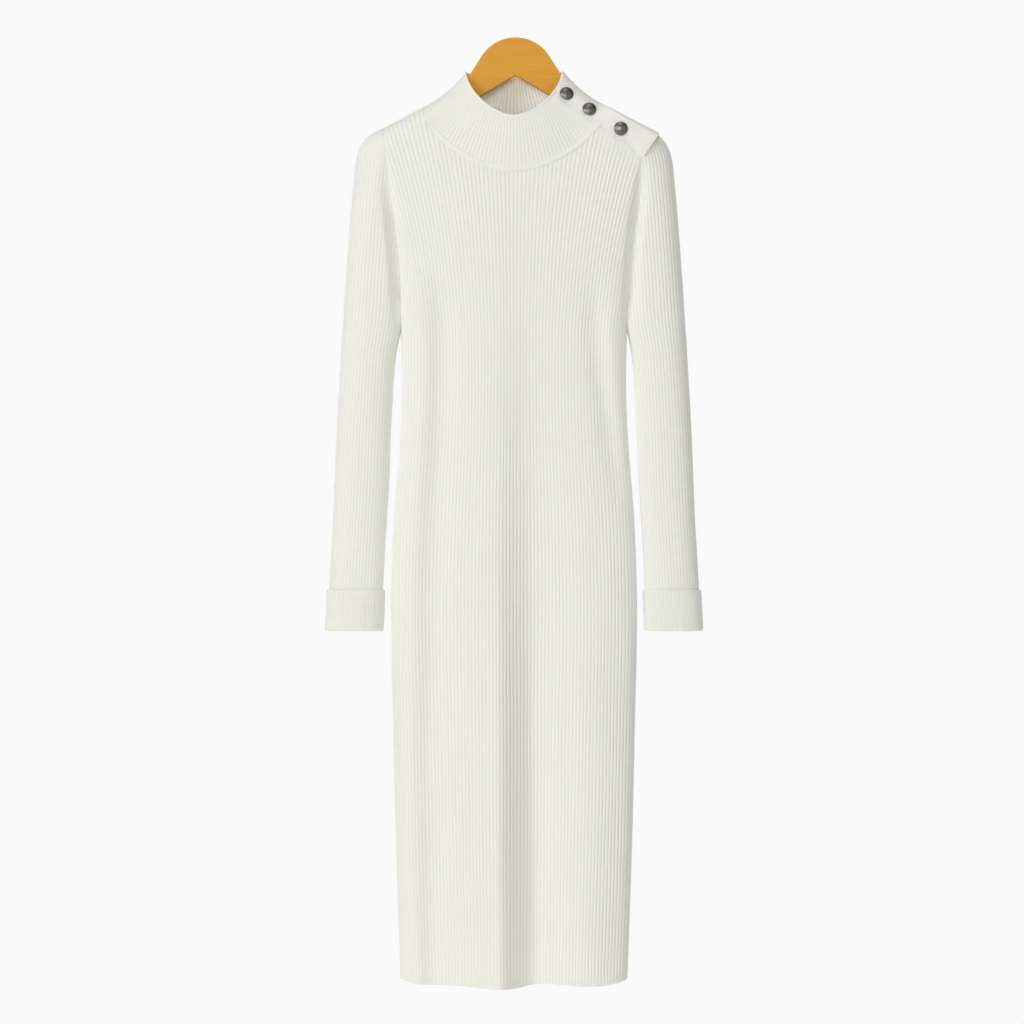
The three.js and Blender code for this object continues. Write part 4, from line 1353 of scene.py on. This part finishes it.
@dataclass
class Collar:
    """The funnel collar, from its linked seam to its rolled rim.

    Attributes:
        node: The part's node that it stands for.
        front_ribs: Ribs over its front.
        back_ribs: Ribs over its back.
        rim_half: Half width of the rim.
        rim_side: Height of the rim at the shoulders.
        rims: Drop and squareness of the rim by side.
        depths: Half depth of the rim by side.
        bluntness: Power of the rim's turn over each shoulder.
        dip: Hollow of its sides between seam and rim.
        belly: Fullness of its front and back.
        height: Its height on the front.
        foot: Rows up from the seam, with the linked seam's relief.
        rim_rows: Rows down from the rim, with the rolled rim's relief.
        middle_rows: Count of the rows between them.
        band_edge: Where the ribs start and are full beside the placket, from the left shoulder.
        right_edge: Where they start and are full beside the right shoulder.
        right_share: Height of the ribs on the right shoulder.
        back_edge: Share of the back's width over which they rise from the left shoulder.
        back_share: Height of the back's ribs there.
        seam_reach: Share of its height in which the linked seam is pressed as its ribs are.
        seam_share: Least height of the linked seam.
        inside_ribs: Depth of the ribs on the inside as a share of the dress's.
        rim_wall: Thickness of the last row.
    """

    node: str = "collar"
    front_ribs: int = 60
    back_ribs: int = 46
    rim_half: float = 60.0
    rim_side: float = -42.0
    rims: dict[Side, Sag] = field(
        default_factory=lambda: {Side.FRONT: Sag(57, 1.65), Side.BACK: Sag(3, 2)}
    )
    depths: dict[Side, float] = field(default_factory=lambda: {Side.FRONT: 30.0, Side.BACK: 22.0})
    bluntness: float = 0.75
    dip: float = 4.5
    belly: float = 3.0
    height: float = 72.0
    foot: tuple[CollarRow, ...] = (
        CollarRow(-2.2, -0.3, 0),
        CollarRow(-1.7, 0.25, 0),
        CollarRow(-0.8, 0.85, 0),
        CollarRow(0.5, 1.25, 0),
        CollarRow(2.2, 1.4, 0),
        CollarRow(3.6, 1.15, 0.05),
        CollarRow(4.8, 0.55, 0.3),
        CollarRow(6.2, 0.12, 0.7),
        CollarRow(8.5, 0, 1),
    )
    rim_rows: tuple[CollarRow, ...] = (
        CollarRow(4.2, 0, 0.95),
        CollarRow(3.1, 0.1, 0.5),
        CollarRow(2.4, 0.6, 0.15),
        CollarRow(1.5, 1.0, 0),
        CollarRow(0.7, 0.8, 0),
        CollarRow(0.05, 0.1, 0, 0.9),
        CollarRow(-0.35, -0.7, 0, 0.55),
    )
    middle_rows: int = 14
    band_edge: tuple[float, float] = (39.0, 67.0)
    right_edge: tuple[float, float] = (12.0, 75.0)
    right_share: float = 0.12
    back_edge: float = 0.15
    back_share: float = 0.25
    seam_reach: float = 0.2
    seam_share: float = 0.1
    inside_ribs: float = 1.5
    rim_wall: float = 1.1

    def rim(self, side: Side, shares: np.ndarray) -> np.ndarray:
        """Finds points of the rim, from the wearer's right to the left.

        Args:
            side: Which half of it.
            shares: Shares of its length.

        Returns:
            The points.
        """
        angle = np.linspace(0, math.pi, LINE_STEPS)
        x = -self.rim_half * np.cos(angle)
        y = side.value * self.depths[side] * np.maximum(np.sin(angle), 0) ** self.bluntness
        return along_line(points(x, y, sag_z(x, self.rim_half, self.rim_side, self.rims[side])), shares)

    def foot_line(self, side: Side, shares: np.ndarray) -> np.ndarray:
        """Finds points of the neckline, from the wearer's right to the left.

        Args:
            side: Which panel's.
            shares: Shares of its length.

        Returns:
            The points.
        """
        neck = FRONT_NECK if side is Side.FRONT else BACK_NECK
        turn = np.linspace(0, math.pi, LINE_STEPS)
        x = -NECK_HALF * np.cos(turn)
        z = sag_z(x, NECK_HALF, float(shoulder_z(NECK_HALF)), neck)
        line = body_at(side, x, z)
        line[[0, -1], 1] = 0
        return along_line(line, shares)

    def surface(
        self, side: Side, shares: np.ndarray, heights: np.ndarray
    ) -> tuple[np.ndarray, np.ndarray]:
        """Works out the collar at the level of its grooves over one panel.

        Args:
            side: Which panel.
            shares: How far each column is along it, 0 to 1.
            heights: How far each row is up it, 0 to 1.

        Returns:
            Its points and its outward directions.
        """
        foot = self.foot_line(side, shares)
        rim = self.rim(side, shares)
        near = 0.01
        ahead, behind = np.minimum(shares + near, 1), np.maximum(shares - near, 0)
        run = self.rim(side, ahead) - self.rim(side, behind)
        run += self.foot_line(side, ahead) - self.foot_line(side, behind)
        up = rim - foot
        ends = (shares <= 0) | (shares >= 1)
        run[ends, 0] = 0
        run[ends, 2] = 0
        up[ends, 1] = 0
        out = unit(np.cross(run, up))
        wrong = out[:, 1] * side.value < 0
        wrong |= (np.abs(out[:, 1]) < 1e-6) & (out[:, 2] < 0)
        out[wrong] *= -1
        foot = foot + unit(up) * SEAM_GAP
        sideways = np.abs(2 * shares - 1) ** 3
        full = self.belly + (-self.dip - self.belly) * sideways
        h = heights[:, None]
        bow = full * 4 * h * (1 - h)
        grid = foot + (rim - foot) * h[..., None] + out * bow[..., None]
        return grid, np.broadcast_to(out, grid.shape).copy()

    def length(self, height: float) -> float:
        """Length of the front of the collar at a share of its height."""
        grid, _ = self.surface(Side.FRONT, np.linspace(0, 1, 201), np.array([height]))
        return float(np.sum(np.linalg.norm(np.diff(grid[0], axis=0), axis=1)))

    def rows(self) -> tuple[np.ndarray, np.ndarray, np.ndarray, np.ndarray]:
        """Lists the rows.

        Returns:
            Heights, extra relief, share of the ribs and share of the wall for each row.
        """
        low = [(row.up / self.height, row.raised, row.ribs, 1.0) for row in self.foot]
        high = [(1 - row.up / self.height, row.raised, row.ribs, row.inside) for row in self.rim_rows]
        steps = np.linspace(low[-1][0], high[0][0], self.middle_rows + 2)[1:-1]
        middle = [(h, 0.0, 1.0, 1.0) for h in steps]
        table = np.array([*low, *middle, *high])
        return table[:, 0], table[:, 1], table[:, 2], table[:, 3]

    def build(self, material: bpy.types.Material) -> bpy.types.Object:
        """Makes the collar with its ribs, linked seam and rolled rim.

        Args:
            material: Its knit.

        Returns:
            The piece.
        """
        heights, raised, share, inside = self.rows()
        front_ribs, back_ribs = rib_columns(self.front_ribs), rib_columns(self.back_ribs)
        front, front_out = self.surface(Side.FRONT, front_ribs / self.front_ribs, heights)
        back, back_out = self.surface(Side.BACK, 1 - back_ribs / self.back_ribs, heights)
        base = np.concatenate([front, back], axis=1)
        rough = np.concatenate([front_out, back_out], axis=1)
        normals = unit(grid_normals(base, True, rough) + rough)
        ribs = np.concatenate([front_ribs, self.front_ribs + back_ribs])
        lengths = np.array([self.length(h) for h in np.clip(heights, 0, 1)])
        to_left = (1 - front_ribs / self.front_ribs)[None, :] * lengths[:, None]
        under_band = ease(to_left, *self.band_edge)
        to_right = (front_ribs / self.front_ribs)[None, :] * lengths[:, None]
        pressed = at_least(self.right_share, ease(to_right, *self.right_edge))
        behind = at_least(self.back_share, ease(back_ribs / self.back_ribs, 0, self.back_edge))
        behind = np.broadcast_to(behind[::-1], (len(heights), len(back_ribs)))
        fading = np.concatenate([under_band * pressed, behind], axis=1)
        shape = rib_shape(ribs)
        share = share[:, None] * fading
        at_seam = heights[:, None] < self.seam_reach
        seam_fade = np.where(at_seam, at_least(self.seam_share, fading), 1.0)
        out = share * shape * RIB_RISE + raised[:, None] * seam_fade
        wall = WALL * inside[:, None] + share * shape * INSIDE_RIB * self.inside_ribs
        outer = base + normals * out[..., None]
        inner = base - normals * wall[..., None]
        inner[-1] = base[-1] - normals[-1] * self.rim_wall
        ribs = np.append(ribs, self.front_ribs + self.back_ribs)
        stitches = (heights * self.height / STITCH_ROW)[:, None]
        piece = Shell(self.node, outer, inner, ribs, stitches, True, share).build()
        dress_piece(piece, material, [self.node])
        return piece


@dataclass
class Placket:
    """The shoulder placket: a smooth band over a hidden stand, closed by snaps.

    Attributes:
        collar: The collar that it starts on.
        width: Width of the band.
        collar_rows: Rows on the collar.
        shoulder_rows: Rows on the shoulder.
        columns: Columns across.
        stand_reach: Share of its length that the hidden stand reaches.
        rim_proud: Height of the band's outside over the grooves at the rim.
        proud: The same along the shoulder.
        ridge_share: Share of that height at its upper edge.
        flush: Height at its lower edge, where it blends into the ribs.
        end_proud: The same at its free end over the sleeve.
        thick: Thickness of the band.
        flatness: How squarely it turns over the shoulder's ridge.
        edge_columns: Share by which its columns crowd towards both edges.
        smoothing: Rounds of blending for its surface and for its directions.
        faces: The direction that it roughly faces.
        free_end: Share of its length from which its free end rises.
        full_from: Shares of its length between which it rises from the rim's height.
        ridge_from: Shares of its length between which its upper edge is thinned.
        ridge_to: Share of its width that the thinned edge takes.
        lower_from: Share of its width from which it falls to its lower edge.
        edge_round: Width of its rounded edges.
        edge_least: Thickness of a layer on its very edge, as a share.
        stitch_width: Width of a stitch.
        filling: Share of its height that is cloth, and the least thickness.
        stand_width: Share of its width that the hidden stand takes.
        stand_gap: Gap between the band and the stand.
        stand_filling: Share of the height under the band that the stand takes.
        stand_thick: Least and greatest thickness of the stand.
    """

    collar: Collar
    width: float = 43.0
    collar_rows: int = 36
    shoulder_rows: int = 60
    columns: int = 34
    stand_reach: float = 0.72
    rim_proud: float = 1.7
    proud: float = 2.2
    ridge_share: float = 0.5
    flush: float = -0.5
    end_proud: float = 3.4
    thick: float = 2.2
    flatness: float = 8.0
    edge_columns: float = 0.55
    smoothing: tuple[int, int] = (60, 12)
    faces: tuple[float, float, float] = (0.3, -1.0, 0.9)
    free_end: float = 0.8
    full_from: tuple[float, float] = (0.02, 0.34)
    ridge_from: tuple[float, float] = (0.15, 0.4)
    ridge_to: float = 0.2
    lower_from: float = 0.6
    edge_round: float = 1.1
    edge_least: float = 0.15
    stitch_width: float = 2.2
    filling: tuple[float, float] = (0.75, 0.8)
    stand_width: float = 0.7
    stand_gap: float = 0.3
    stand_filling: float = 0.6
    stand_thick: tuple[float, float] = (0.5, 1.6)

    def front_skin(self, x: np.ndarray, z: np.ndarray) -> np.ndarray:
        """Works out the depth of the front's cloth, over the body or the sleeve.

        Args:
            x: Places on the front view.
            z: Their heights.

        Returns:
            The depth at each.
        """
        across = np.clip(np.abs(x) / body_spread(z), 0, 1)
        out = (1 - across**BODY_SQUARENESS) ** (1 / BODY_SQUARENESS)
        body = body_depth(z) * out * (1 - lying(x, z) ** self.flatness) ** (1 / self.flatness)
        half = sleeve_half(z)
        share = np.abs(np.abs(x) - sleeve_outer(z) + half) / half
        tube = sleeve_depth(z) * np.maximum(1 - share**SLEEVE_SQUARENESS, 0) ** (1 / SLEEVE_SQUARENESS)
        near_sleeve = np.abs(x) > SHOULDER_HALF - 10
        return np.maximum(body, np.where(near_sleeve, tube, 0))

    def base(self) -> tuple[np.ndarray, np.ndarray, np.ndarray, np.ndarray]:
        """Works out the surface under the band.

        Returns:
            Its points, its outward directions, and how far each row is along the band and
            each column across it.
        """
        edge = 0.5 - 0.5 * np.cos(np.linspace(0, math.pi, self.columns))
        across = self.edge_columns * edge + (1 - self.edge_columns) * np.linspace(0, 1, self.columns)
        rows = []
        for height in np.linspace(1, 0, self.collar_rows, endpoint=False):
            shares = 1 - across * self.width / self.collar.length(height)
            grid, _ = self.collar.surface(Side.FRONT, shares, np.array([height]))
            rows.append(grid[0])
        shares = 1 - across * self.width / self.collar.length(0)
        start = self.collar.surface(Side.FRONT, shares, np.array([0.0]))[0][0]
        end_x = BAND_TOP_END.x + (BAND_LOW_END.x - BAND_TOP_END.x) * across
        end_z = BAND_TOP_END.z + (BAND_LOW_END.z - BAND_TOP_END.z) * across
        for along in np.linspace(0, 1, self.shoulder_rows + 1):
            x = start[:, 0] + (end_x - start[:, 0]) * along
            z = start[:, 2] + (end_z - start[:, 2]) * along
            y = -self.front_skin(x, np.minimum(z, shoulder_z(x) - across * self.width))
            y = np.where(across < 1e-9, 0, y)
            rows.append(points(x, y if along > 0 else start[:, 1], z))
        surface_rounds, normal_rounds = self.smoothing
        grid = smoothed(np.stack(rows), surface_rounds)
        normals = grid_normals(grid, False, np.broadcast_to(self.faces, grid.shape))
        run = walked(grid[:, 0])
        return grid, smoothed(normals, normal_rounds), run / run[-1], across

    def lift(self, run: np.ndarray, across: np.ndarray) -> np.ndarray:
        """Works out the height of the band's outside over the grooves.

        Args:
            run: How far each row is along the band, 0 to 1.
            across: How far each column is across it, 0 to 1.

        Returns:
            The height at each point.
        """
        to_end = ease(run, self.free_end, 1.0)[:, None]
        rising = self.rim_proud + (self.proud - self.rim_proud) * ease(run, *self.full_from)[:, None]
        lower = self.flush + (self.end_proud - self.flush) * to_end
        upper = rising + (self.end_proud - rising) * to_end
        thinned = self.ridge_share * ease(run, *self.ridge_from)[:, None]
        low_edge = thinned * (1 - ease(across, 0.0, self.ridge_to))
        to_lower = ease(across, self.lower_from, 1.0)[None, :]
        return (upper + (lower - upper) * to_lower) * (1 - low_edge)

    def layer(
        self,
        name: str,
        top: np.ndarray,
        thick: np.ndarray,
        base: np.ndarray,
        normals: np.ndarray,
        width: np.ndarray,
    ) -> Shell:
        """Makes one layer of cloth with rounded edges.

        Args:
            name: Name of the piece.
            top: Height of its outside over the base.
            thick: Its thickness.
            base: The surface that it lies over.
            normals: That surface's outward directions.
            width: How far each column is across, in millimetres.

        Returns:
            The shell.
        """
        run = walked(base[:, 0])
        to_edge = np.minimum.outer(np.minimum(run, run[-1] - run), np.minimum(width, width[-1] - width))
        inset = np.clip(1 - to_edge / self.edge_round, 0, 1)
        round_off = at_least(self.edge_least, np.sqrt(1 - inset**2))
        middle = top - thick / 2
        outer = base + normals * (middle + thick / 2 * round_off)[..., None]
        inner = base + normals * (middle - thick / 2 * round_off)[..., None]
        stitches = (run / STITCH_ROW)[:, None]
        return Shell(name, outer, inner, width / self.stitch_width, stitches, False)

    def build(self, knit: bpy.types.Material, metal: bpy.types.Material) -> list[bpy.types.Object]:
        """Makes the band, the stand and the snaps.

        Args:
            knit: The band's and the stand's cloth.
            metal: The snaps' metal.

        Returns:
            The pieces.
        """
        base, normals, run, across = self.base()
        width = across * self.width
        top = self.lift(run, across)
        share, least = self.filling
        thick = np.clip(top * share, least, self.thick)
        band = self.layer("placket_band", top, thick, base, normals, width).build()
        dress_piece(band, knit, ["placket_band"])
        rows = int(len(run) * self.stand_reach)
        columns = int(len(across) * self.stand_width)
        under = (top - thick)[:rows, :columns] - self.stand_gap
        stand_thick = np.clip(under * self.stand_filling, *self.stand_thick)
        part = (base[:rows, :columns], normals[:rows, :columns], width[:columns])
        stand = self.layer("placket_stand", under, stand_thick, *part).build()
        dress_piece(stand, knit, ["placket_stand"])
        surface = base + normals * top[..., None]
        made = [band, stand]
        for name, spot in SNAP_SPOTS.items():
            miss = np.hypot(surface[..., 0] - spot.x, surface[..., 2] - spot.z)
            i, j = np.unravel_index(np.argmin(miss), miss.shape)
            made.append(SnapCap(name, Vector(surface[i, j]), Vector(normals[i, j])).build(metal))
        return made


SNAP_SPOTS = {
    "snap_1": Spot(65.0, -71.8),
    "snap_2": Spot(94.2, -91.0),
    "snap_3": Spot(133.2, -115.3),
}


class CapRing(NamedTuple):
    """A ring of a snap cap: its radius and its height over the cloth."""

    radius: float
    height: float


@dataclass
class SnapCap:
    """A domed snap cap with a rolled rim.

    Attributes:
        name: Name of the cap, and of the part's node that it stands for.
        place: The point of the cloth under its middle, in millimetres.
        outwards: The direction that it faces.
        rings: Its rings from the foot to the top.
        sides: Points round each ring.
        sharp_from: Angle in degrees from which an edge stays sharp.
    """

    name: str
    place: Vector
    outwards: Vector
    rings: tuple[CapRing, ...] = (
        CapRing(7.8, 0.0),
        CapRing(8.5, 0.25),
        CapRing(8.75, 0.8),
        CapRing(8.6, 1.35),
        CapRing(8.15, 1.6),
        CapRing(7.75, 1.55),
        CapRing(7.5, 1.75),
        CapRing(6.6, 2.6),
        CapRing(5.4, 3.3),
        CapRing(3.9, 3.85),
        CapRing(2.2, 4.2),
        CapRing(0.9, 4.32),
    )
    sides: int = 56
    sharp_from: float = 50

    def build(self, material: bpy.types.Material) -> bpy.types.Object:
        """Makes the cap from a disc that is extruded and drawn in ring by ring.

        Args:
            material: Its metal.

        Returns:
            The cap.
        """
        bpy.ops.object.select_all(action="DESELECT")
        foot = self.rings[0]
        bpy.ops.mesh.primitive_circle_add(
            vertices=self.sides, radius=foot.radius * MM, fill_type="NGON", location=(0, 0, 0)
        )
        cap = bpy.context.active_object
        cap.name = f"{self.name}_cap"
        bpy.ops.object.mode_set(mode="EDIT")
        bpy.ops.mesh.select_all(action="SELECT")
        for below, ring in zip(self.rings, self.rings[1:]):
            rise = (ring.height - below.height) * MM
            bpy.ops.mesh.extrude_region_move(TRANSFORM_OT_translate={"value": (0, 0, rise)})
            grow = ring.radius / below.radius
            bpy.ops.transform.resize(value=(grow, grow, 1))
        bpy.ops.mesh.select_all(action="SELECT")
        bpy.ops.mesh.normals_make_consistent(inside=False)
        bpy.ops.object.mode_set(mode="OBJECT")
        turn = Vector((0, 0, 1)).rotation_difference(self.outwards).to_matrix().to_4x4()
        cap.matrix_world = Matrix.Translation(self.place * MM) @ turn
        bpy.ops.object.transform_apply(location=True, rotation=True, scale=True)
        bpy.ops.object.shade_smooth_by_angle(angle=math.radians(self.sharp_from))
        return dress_piece(cap, material, [self.name])


class BoardSpot(NamedTuple):
    """The board's upper edge at a distance from its middle."""

    x: float
    top: float


class Rounding(NamedTuple):
    """How a long edge turns in at the board's end: over what length, and how far."""

    length: float
    depth: float

    def at(self, inset: float) -> float:
        """How far the edge has turned in at a distance from the end."""
        turn = 1 - min(inset / self.length, 1)
        return self.depth * (1 - math.sqrt(1 - turn**2))


@dataclass
class Hanger:
    """A flat wooden hanger with a domed middle.

    Attributes:
        node: The part's node that it stands for.
        thick: Thickness of the board.
        bevel: Rounding of its edges.
        drop: How far it lies below the shoulder line.
        tip: Half of its length.
        notch: Height of the inverted V underneath.
        under_slope: Fall of its underside.
        crown: Its upper edge from the dome to where it runs along under the shoulders.
        dome: Radius of the round dome.
        aside: How far the dome stands to the wearer's left of the dress's middle.
        aside_ends: Distances from the middle between which that fades.
        top_end: Rounding of the upper edge at the tip.
        under_end: Rounding of the underside at the tip.
        stations: Spacing of the outline's columns up to each distance from the middle.
        bevel_steps: Faces across the rounding of its edges.
        sharp_from: Angle in degrees from which an edge stays sharp.
    """

    node: str = "hanger"
    thick: float = 12.0
    bevel: float = 2.4
    drop: float = 4.1
    tip: float = 157.0
    notch: float = -46.4
    under_slope: float = 0.594
    crown: tuple[BoardSpot, ...] = (
        BoardSpot(43.3, -25),
        BoardSpot(47.7, -31.8),
        BoardSpot(52.3, -39),
        BoardSpot(57, -46.4),
        BoardSpot(60.5, -51.6),
        BoardSpot(64.5, -57),
        BoardSpot(71, -65),
        BoardSpot(80, -74),
        BoardSpot(92, -82.5),
        BoardSpot(106, -90),
        BoardSpot(124, -96.4),
    )
    dome: float = 50.0
    aside: float = 1.9
    aside_ends: tuple[float, float] = (60, 110)
    top_end: Rounding = Rounding(6, 5.0)
    under_end: Rounding = Rounding(9, 6.5)
    stations: tuple[tuple[float, float], ...] = ((60, 1.25), (150, 3.0), (157, 0.7))
    bevel_steps: int = 4
    sharp_from: float = 28

    def columns(self) -> list[float]:
        """Spaces the outline's columns along the board.

        Returns:
            Their distances from its middle, to the wearer's left.
        """
        half = [0.0]
        for reach, step in self.stations:
            count = round((reach - half[-1]) / step)
            half += list(np.linspace(half[-1], reach, count + 1)[1:])
        return [-x for x in reversed(half[1:])] + half

    def top_at(self, x: float) -> float:
        """Works out the height of the board's upper edge.

        Args:
            x: Distance from its middle.

        Returns:
            The height there.
        """
        reach = abs(x)
        if reach <= self.crown[0].x:
            return math.sqrt(self.dome**2 - reach**2) - self.dome
        crown = table_curve(self.crown, "x", "top")
        along = float(crown(reach)) if reach <= self.crown[-1].x else float(shoulder_z(x)) - self.drop
        return along - self.top_end.at(self.tip - reach)

    def under_at(self, x: float) -> float:
        """Height of the board's underside."""
        return self.notch - self.under_slope * abs(x) + self.under_end.at(self.tip - abs(x))

    def build(self, material: bpy.types.Material) -> bpy.types.Object:
        """Draws the outline column by column, gives it its thickness and rounds its edges.

        Args:
            material: Its wood.

        Returns:
            The board.
        """
        bpy.ops.object.select_all(action="DESELECT")
        columns = self.columns()
        bpy.ops.mesh.primitive_grid_add(
            x_subdivisions=len(columns) - 1,
            y_subdivisions=1,
            size=2,
            location=(0, 0, 0),
            rotation=(math.pi / 2, 0, 0),
        )
        board = bpy.context.active_object
        board.name = f"{self.node}_board"
        bpy.ops.object.transform_apply(location=True, rotation=True, scale=True)
        bpy.ops.object.mode_set(mode="EDIT")
        mesh = bmesh.from_edit_mesh(board.data)
        for corner in mesh.verts:
            place = (corner.co.x + 1) / 2 * (len(columns) - 1)
            x = columns[round(place)]
            z = self.top_at(x) if corner.co.z > 0 else self.under_at(x)
            moved = x + self.aside * float(1 - ease(abs(x), *self.aside_ends))
            corner.co = Vector((moved, self.thick / 2, z)) * MM
        bmesh.update_edit_mesh(board.data)
        bpy.ops.mesh.select_all(action="SELECT")
        bpy.ops.mesh.extrude_region_move(TRANSFORM_OT_translate={"value": (0, -self.thick * MM, 0)})
        bpy.ops.mesh.select_all(action="SELECT")
        bpy.ops.mesh.normals_make_consistent(inside=False)
        mesh = bmesh.from_edit_mesh(board.data)
        bpy.ops.mesh.select_all(action="DESELECT")
        for edge in mesh.edges:
            flat = abs(edge.verts[0].co.y - edge.verts[1].co.y) < 1e-6
            facing = [abs(face.normal.y) > 0.9 for face in edge.link_faces]
            edge.select = flat and any(facing) and not all(facing)
        mesh.select_flush_mode()
        bmesh.update_edit_mesh(board.data)
        bpy.ops.mesh.bevel(offset=self.bevel * MM, segments=self.bevel_steps, profile=0.5)
        bpy.ops.object.mode_set(mode="OBJECT")
        bpy.ops.object.shade_smooth_by_angle(angle=math.radians(self.sharp_from))
        return dress_piece(board, material, [self.node])


class Lamp(NamedTuple):
    """A soft square light: where it stands, its side, its power and its colour."""

    name: str
    place: tuple[float, float, float]
    side: float
    power: float
    color: tuple[float, float, float]


@dataclass
class Studio:
    """The pale studio: backdrop, floor, lights and camera.

    Attributes:
        middle: What the camera and the lights point at.
        distance: How far the camera stands in front.
        lens: Focal length in millimetres.
        floor: Height of the floor.
        backdrop: Brightness of what shows behind the dress.
        ambient: Brightness of the light from all round.
        ambient_color: Its colour.
        floor_side: Side of the floor.
        floor_color: Colour of the floor.
        lamps: The lights.
    """

    middle: tuple[float, float, float] = (-0.0025, 0.0, -0.5925)
    distance: float = 4.8
    lens: float = 135.0
    floor: float = -1.75
    backdrop: float = 0.956
    ambient: float = 0.16
    ambient_color: tuple[float, float, float] = (1.0, 0.955, 0.88)
    floor_side: float = 6
    floor_color: tuple[float, float, float] = (0.9, 0.9, 0.89)
    lamps: tuple[Lamp, ...] = (
        Lamp("key", (-4.3, -3.4, 0.6), 2.2, 123.5, (1.0, 1.0, 0.985)),
        Lamp("front", (-0.5, -4.2, 0.3), 1.2, 68.0, (1.0, 1.0, 0.985)),
        Lamp("right", (3.6, -3.0, 0.4), 1.6, 19.0, (1.0, 1.0, 1.0)),
        Lamp("overhead", (0.0, -0.7, 2.4), 1.4, 17.0, (1.0, 1.0, 0.98)),
        Lamp("back left", (-2.4, 3.4, 0.2), 2.4, 85.0, (1.0, 1.0, 1.0)),
        Lamp("back right", (2.4, 3.4, 0.2), 2.4, 130.0, (1.0, 1.0, 1.0)),
    )

    def world(self) -> None:
        """Makes the even backdrop and the light from all round."""
        world = bpy.data.worlds.new("studio")
        bpy.context.scene.world = world
        world.use_nodes = True
        nodes = world.node_tree.nodes
        links = world.node_tree.links
        soft = nodes["Background"]
        set_inputs(soft, {"Color": (*self.ambient_color, 1), "Strength": self.ambient})
        seen = nodes.new("ShaderNodeBackground")
        set_inputs(seen, {"Color": (1, 1, 1, 1), "Strength": self.backdrop})
        path = nodes.new("ShaderNodeLightPath")
        mix = nodes.new("ShaderNodeMixShader")
        links.new(path.outputs["Is Camera Ray"], mix.inputs["Fac"])
        links.new(soft.outputs["Background"], mix.inputs[1])
        links.new(seen.outputs["Background"], mix.inputs[2])
        links.new(mix.outputs["Shader"], nodes["World Output"].inputs["Surface"])

    def build(self) -> None:
        """Makes the studio and sets the scene's camera."""
        self.world()
        bpy.ops.mesh.primitive_plane_add(size=self.floor_side, location=(0, 0, self.floor))
        floor = bpy.context.active_object
        floor.name = "floor"
        pale = {"Base Color": (*self.floor_color, 1), "Roughness": 0.9}
        floor.data.materials.append(plain_material("pale_floor", pale))
        target = Vector(self.middle)
        for lamp in self.lamps:
            data = bpy.data.lights.new(lamp.name, "AREA")
            data.shape = "SQUARE"
            data.size = lamp.side
            data.energy = lamp.power
            data.color = lamp.color
            light = bpy.data.objects.new(lamp.name, data)
            light.location = lamp.place
            light.rotation_euler = (target - Vector(lamp.place)).to_track_quat("-Z", "Y").to_euler()
            bpy.context.scene.collection.objects.link(light)
        data = bpy.data.cameras.new("camera")
        data.lens = self.lens
        data.sensor_width = 36.0
        data.clip_end = 50.0
        camera = bpy.data.objects.new("camera", data)
        camera.location = target + Vector((0, -self.distance, 0))
        camera.rotation_euler = (math.pi / 2, 0, 0)
        bpy.context.scene.collection.objects.link(camera)
        bpy.context.scene.camera = camera
        bpy.context.scene.view_settings.view_transform = "Standard"
        log.info("studio: %d lights", len(self.lamps))


def main() -> None:
    """Builds the dress on its hanger and the studio round it."""
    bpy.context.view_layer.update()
    knit = KNIT.material()
    fine = FINE_KNIT.material()
    Panel("front", Side.FRONT, FRONT_NECK, FRONT_HEM).build(knit)
    Panel("back", Side.BACK, BACK_NECK, BACK_HEM).build(knit)
    for hand, word, rib_height in ((Hand.LEFT, "left", 1.05), (Hand.RIGHT, "right", 0.85)):
        Sleeve(f"sleeve_{word}", hand, rib_height).build(knit)
        Cuff(f"cuff_{word}", hand).build(knit)
    collar = Collar()
    collar.build(knit)
    Placket(collar).build(fine, GUNMETAL.material())
    Hanger().build(HONEY_WOOD.material())
    Studio().build()


if __name__ == "__main__":
    main()
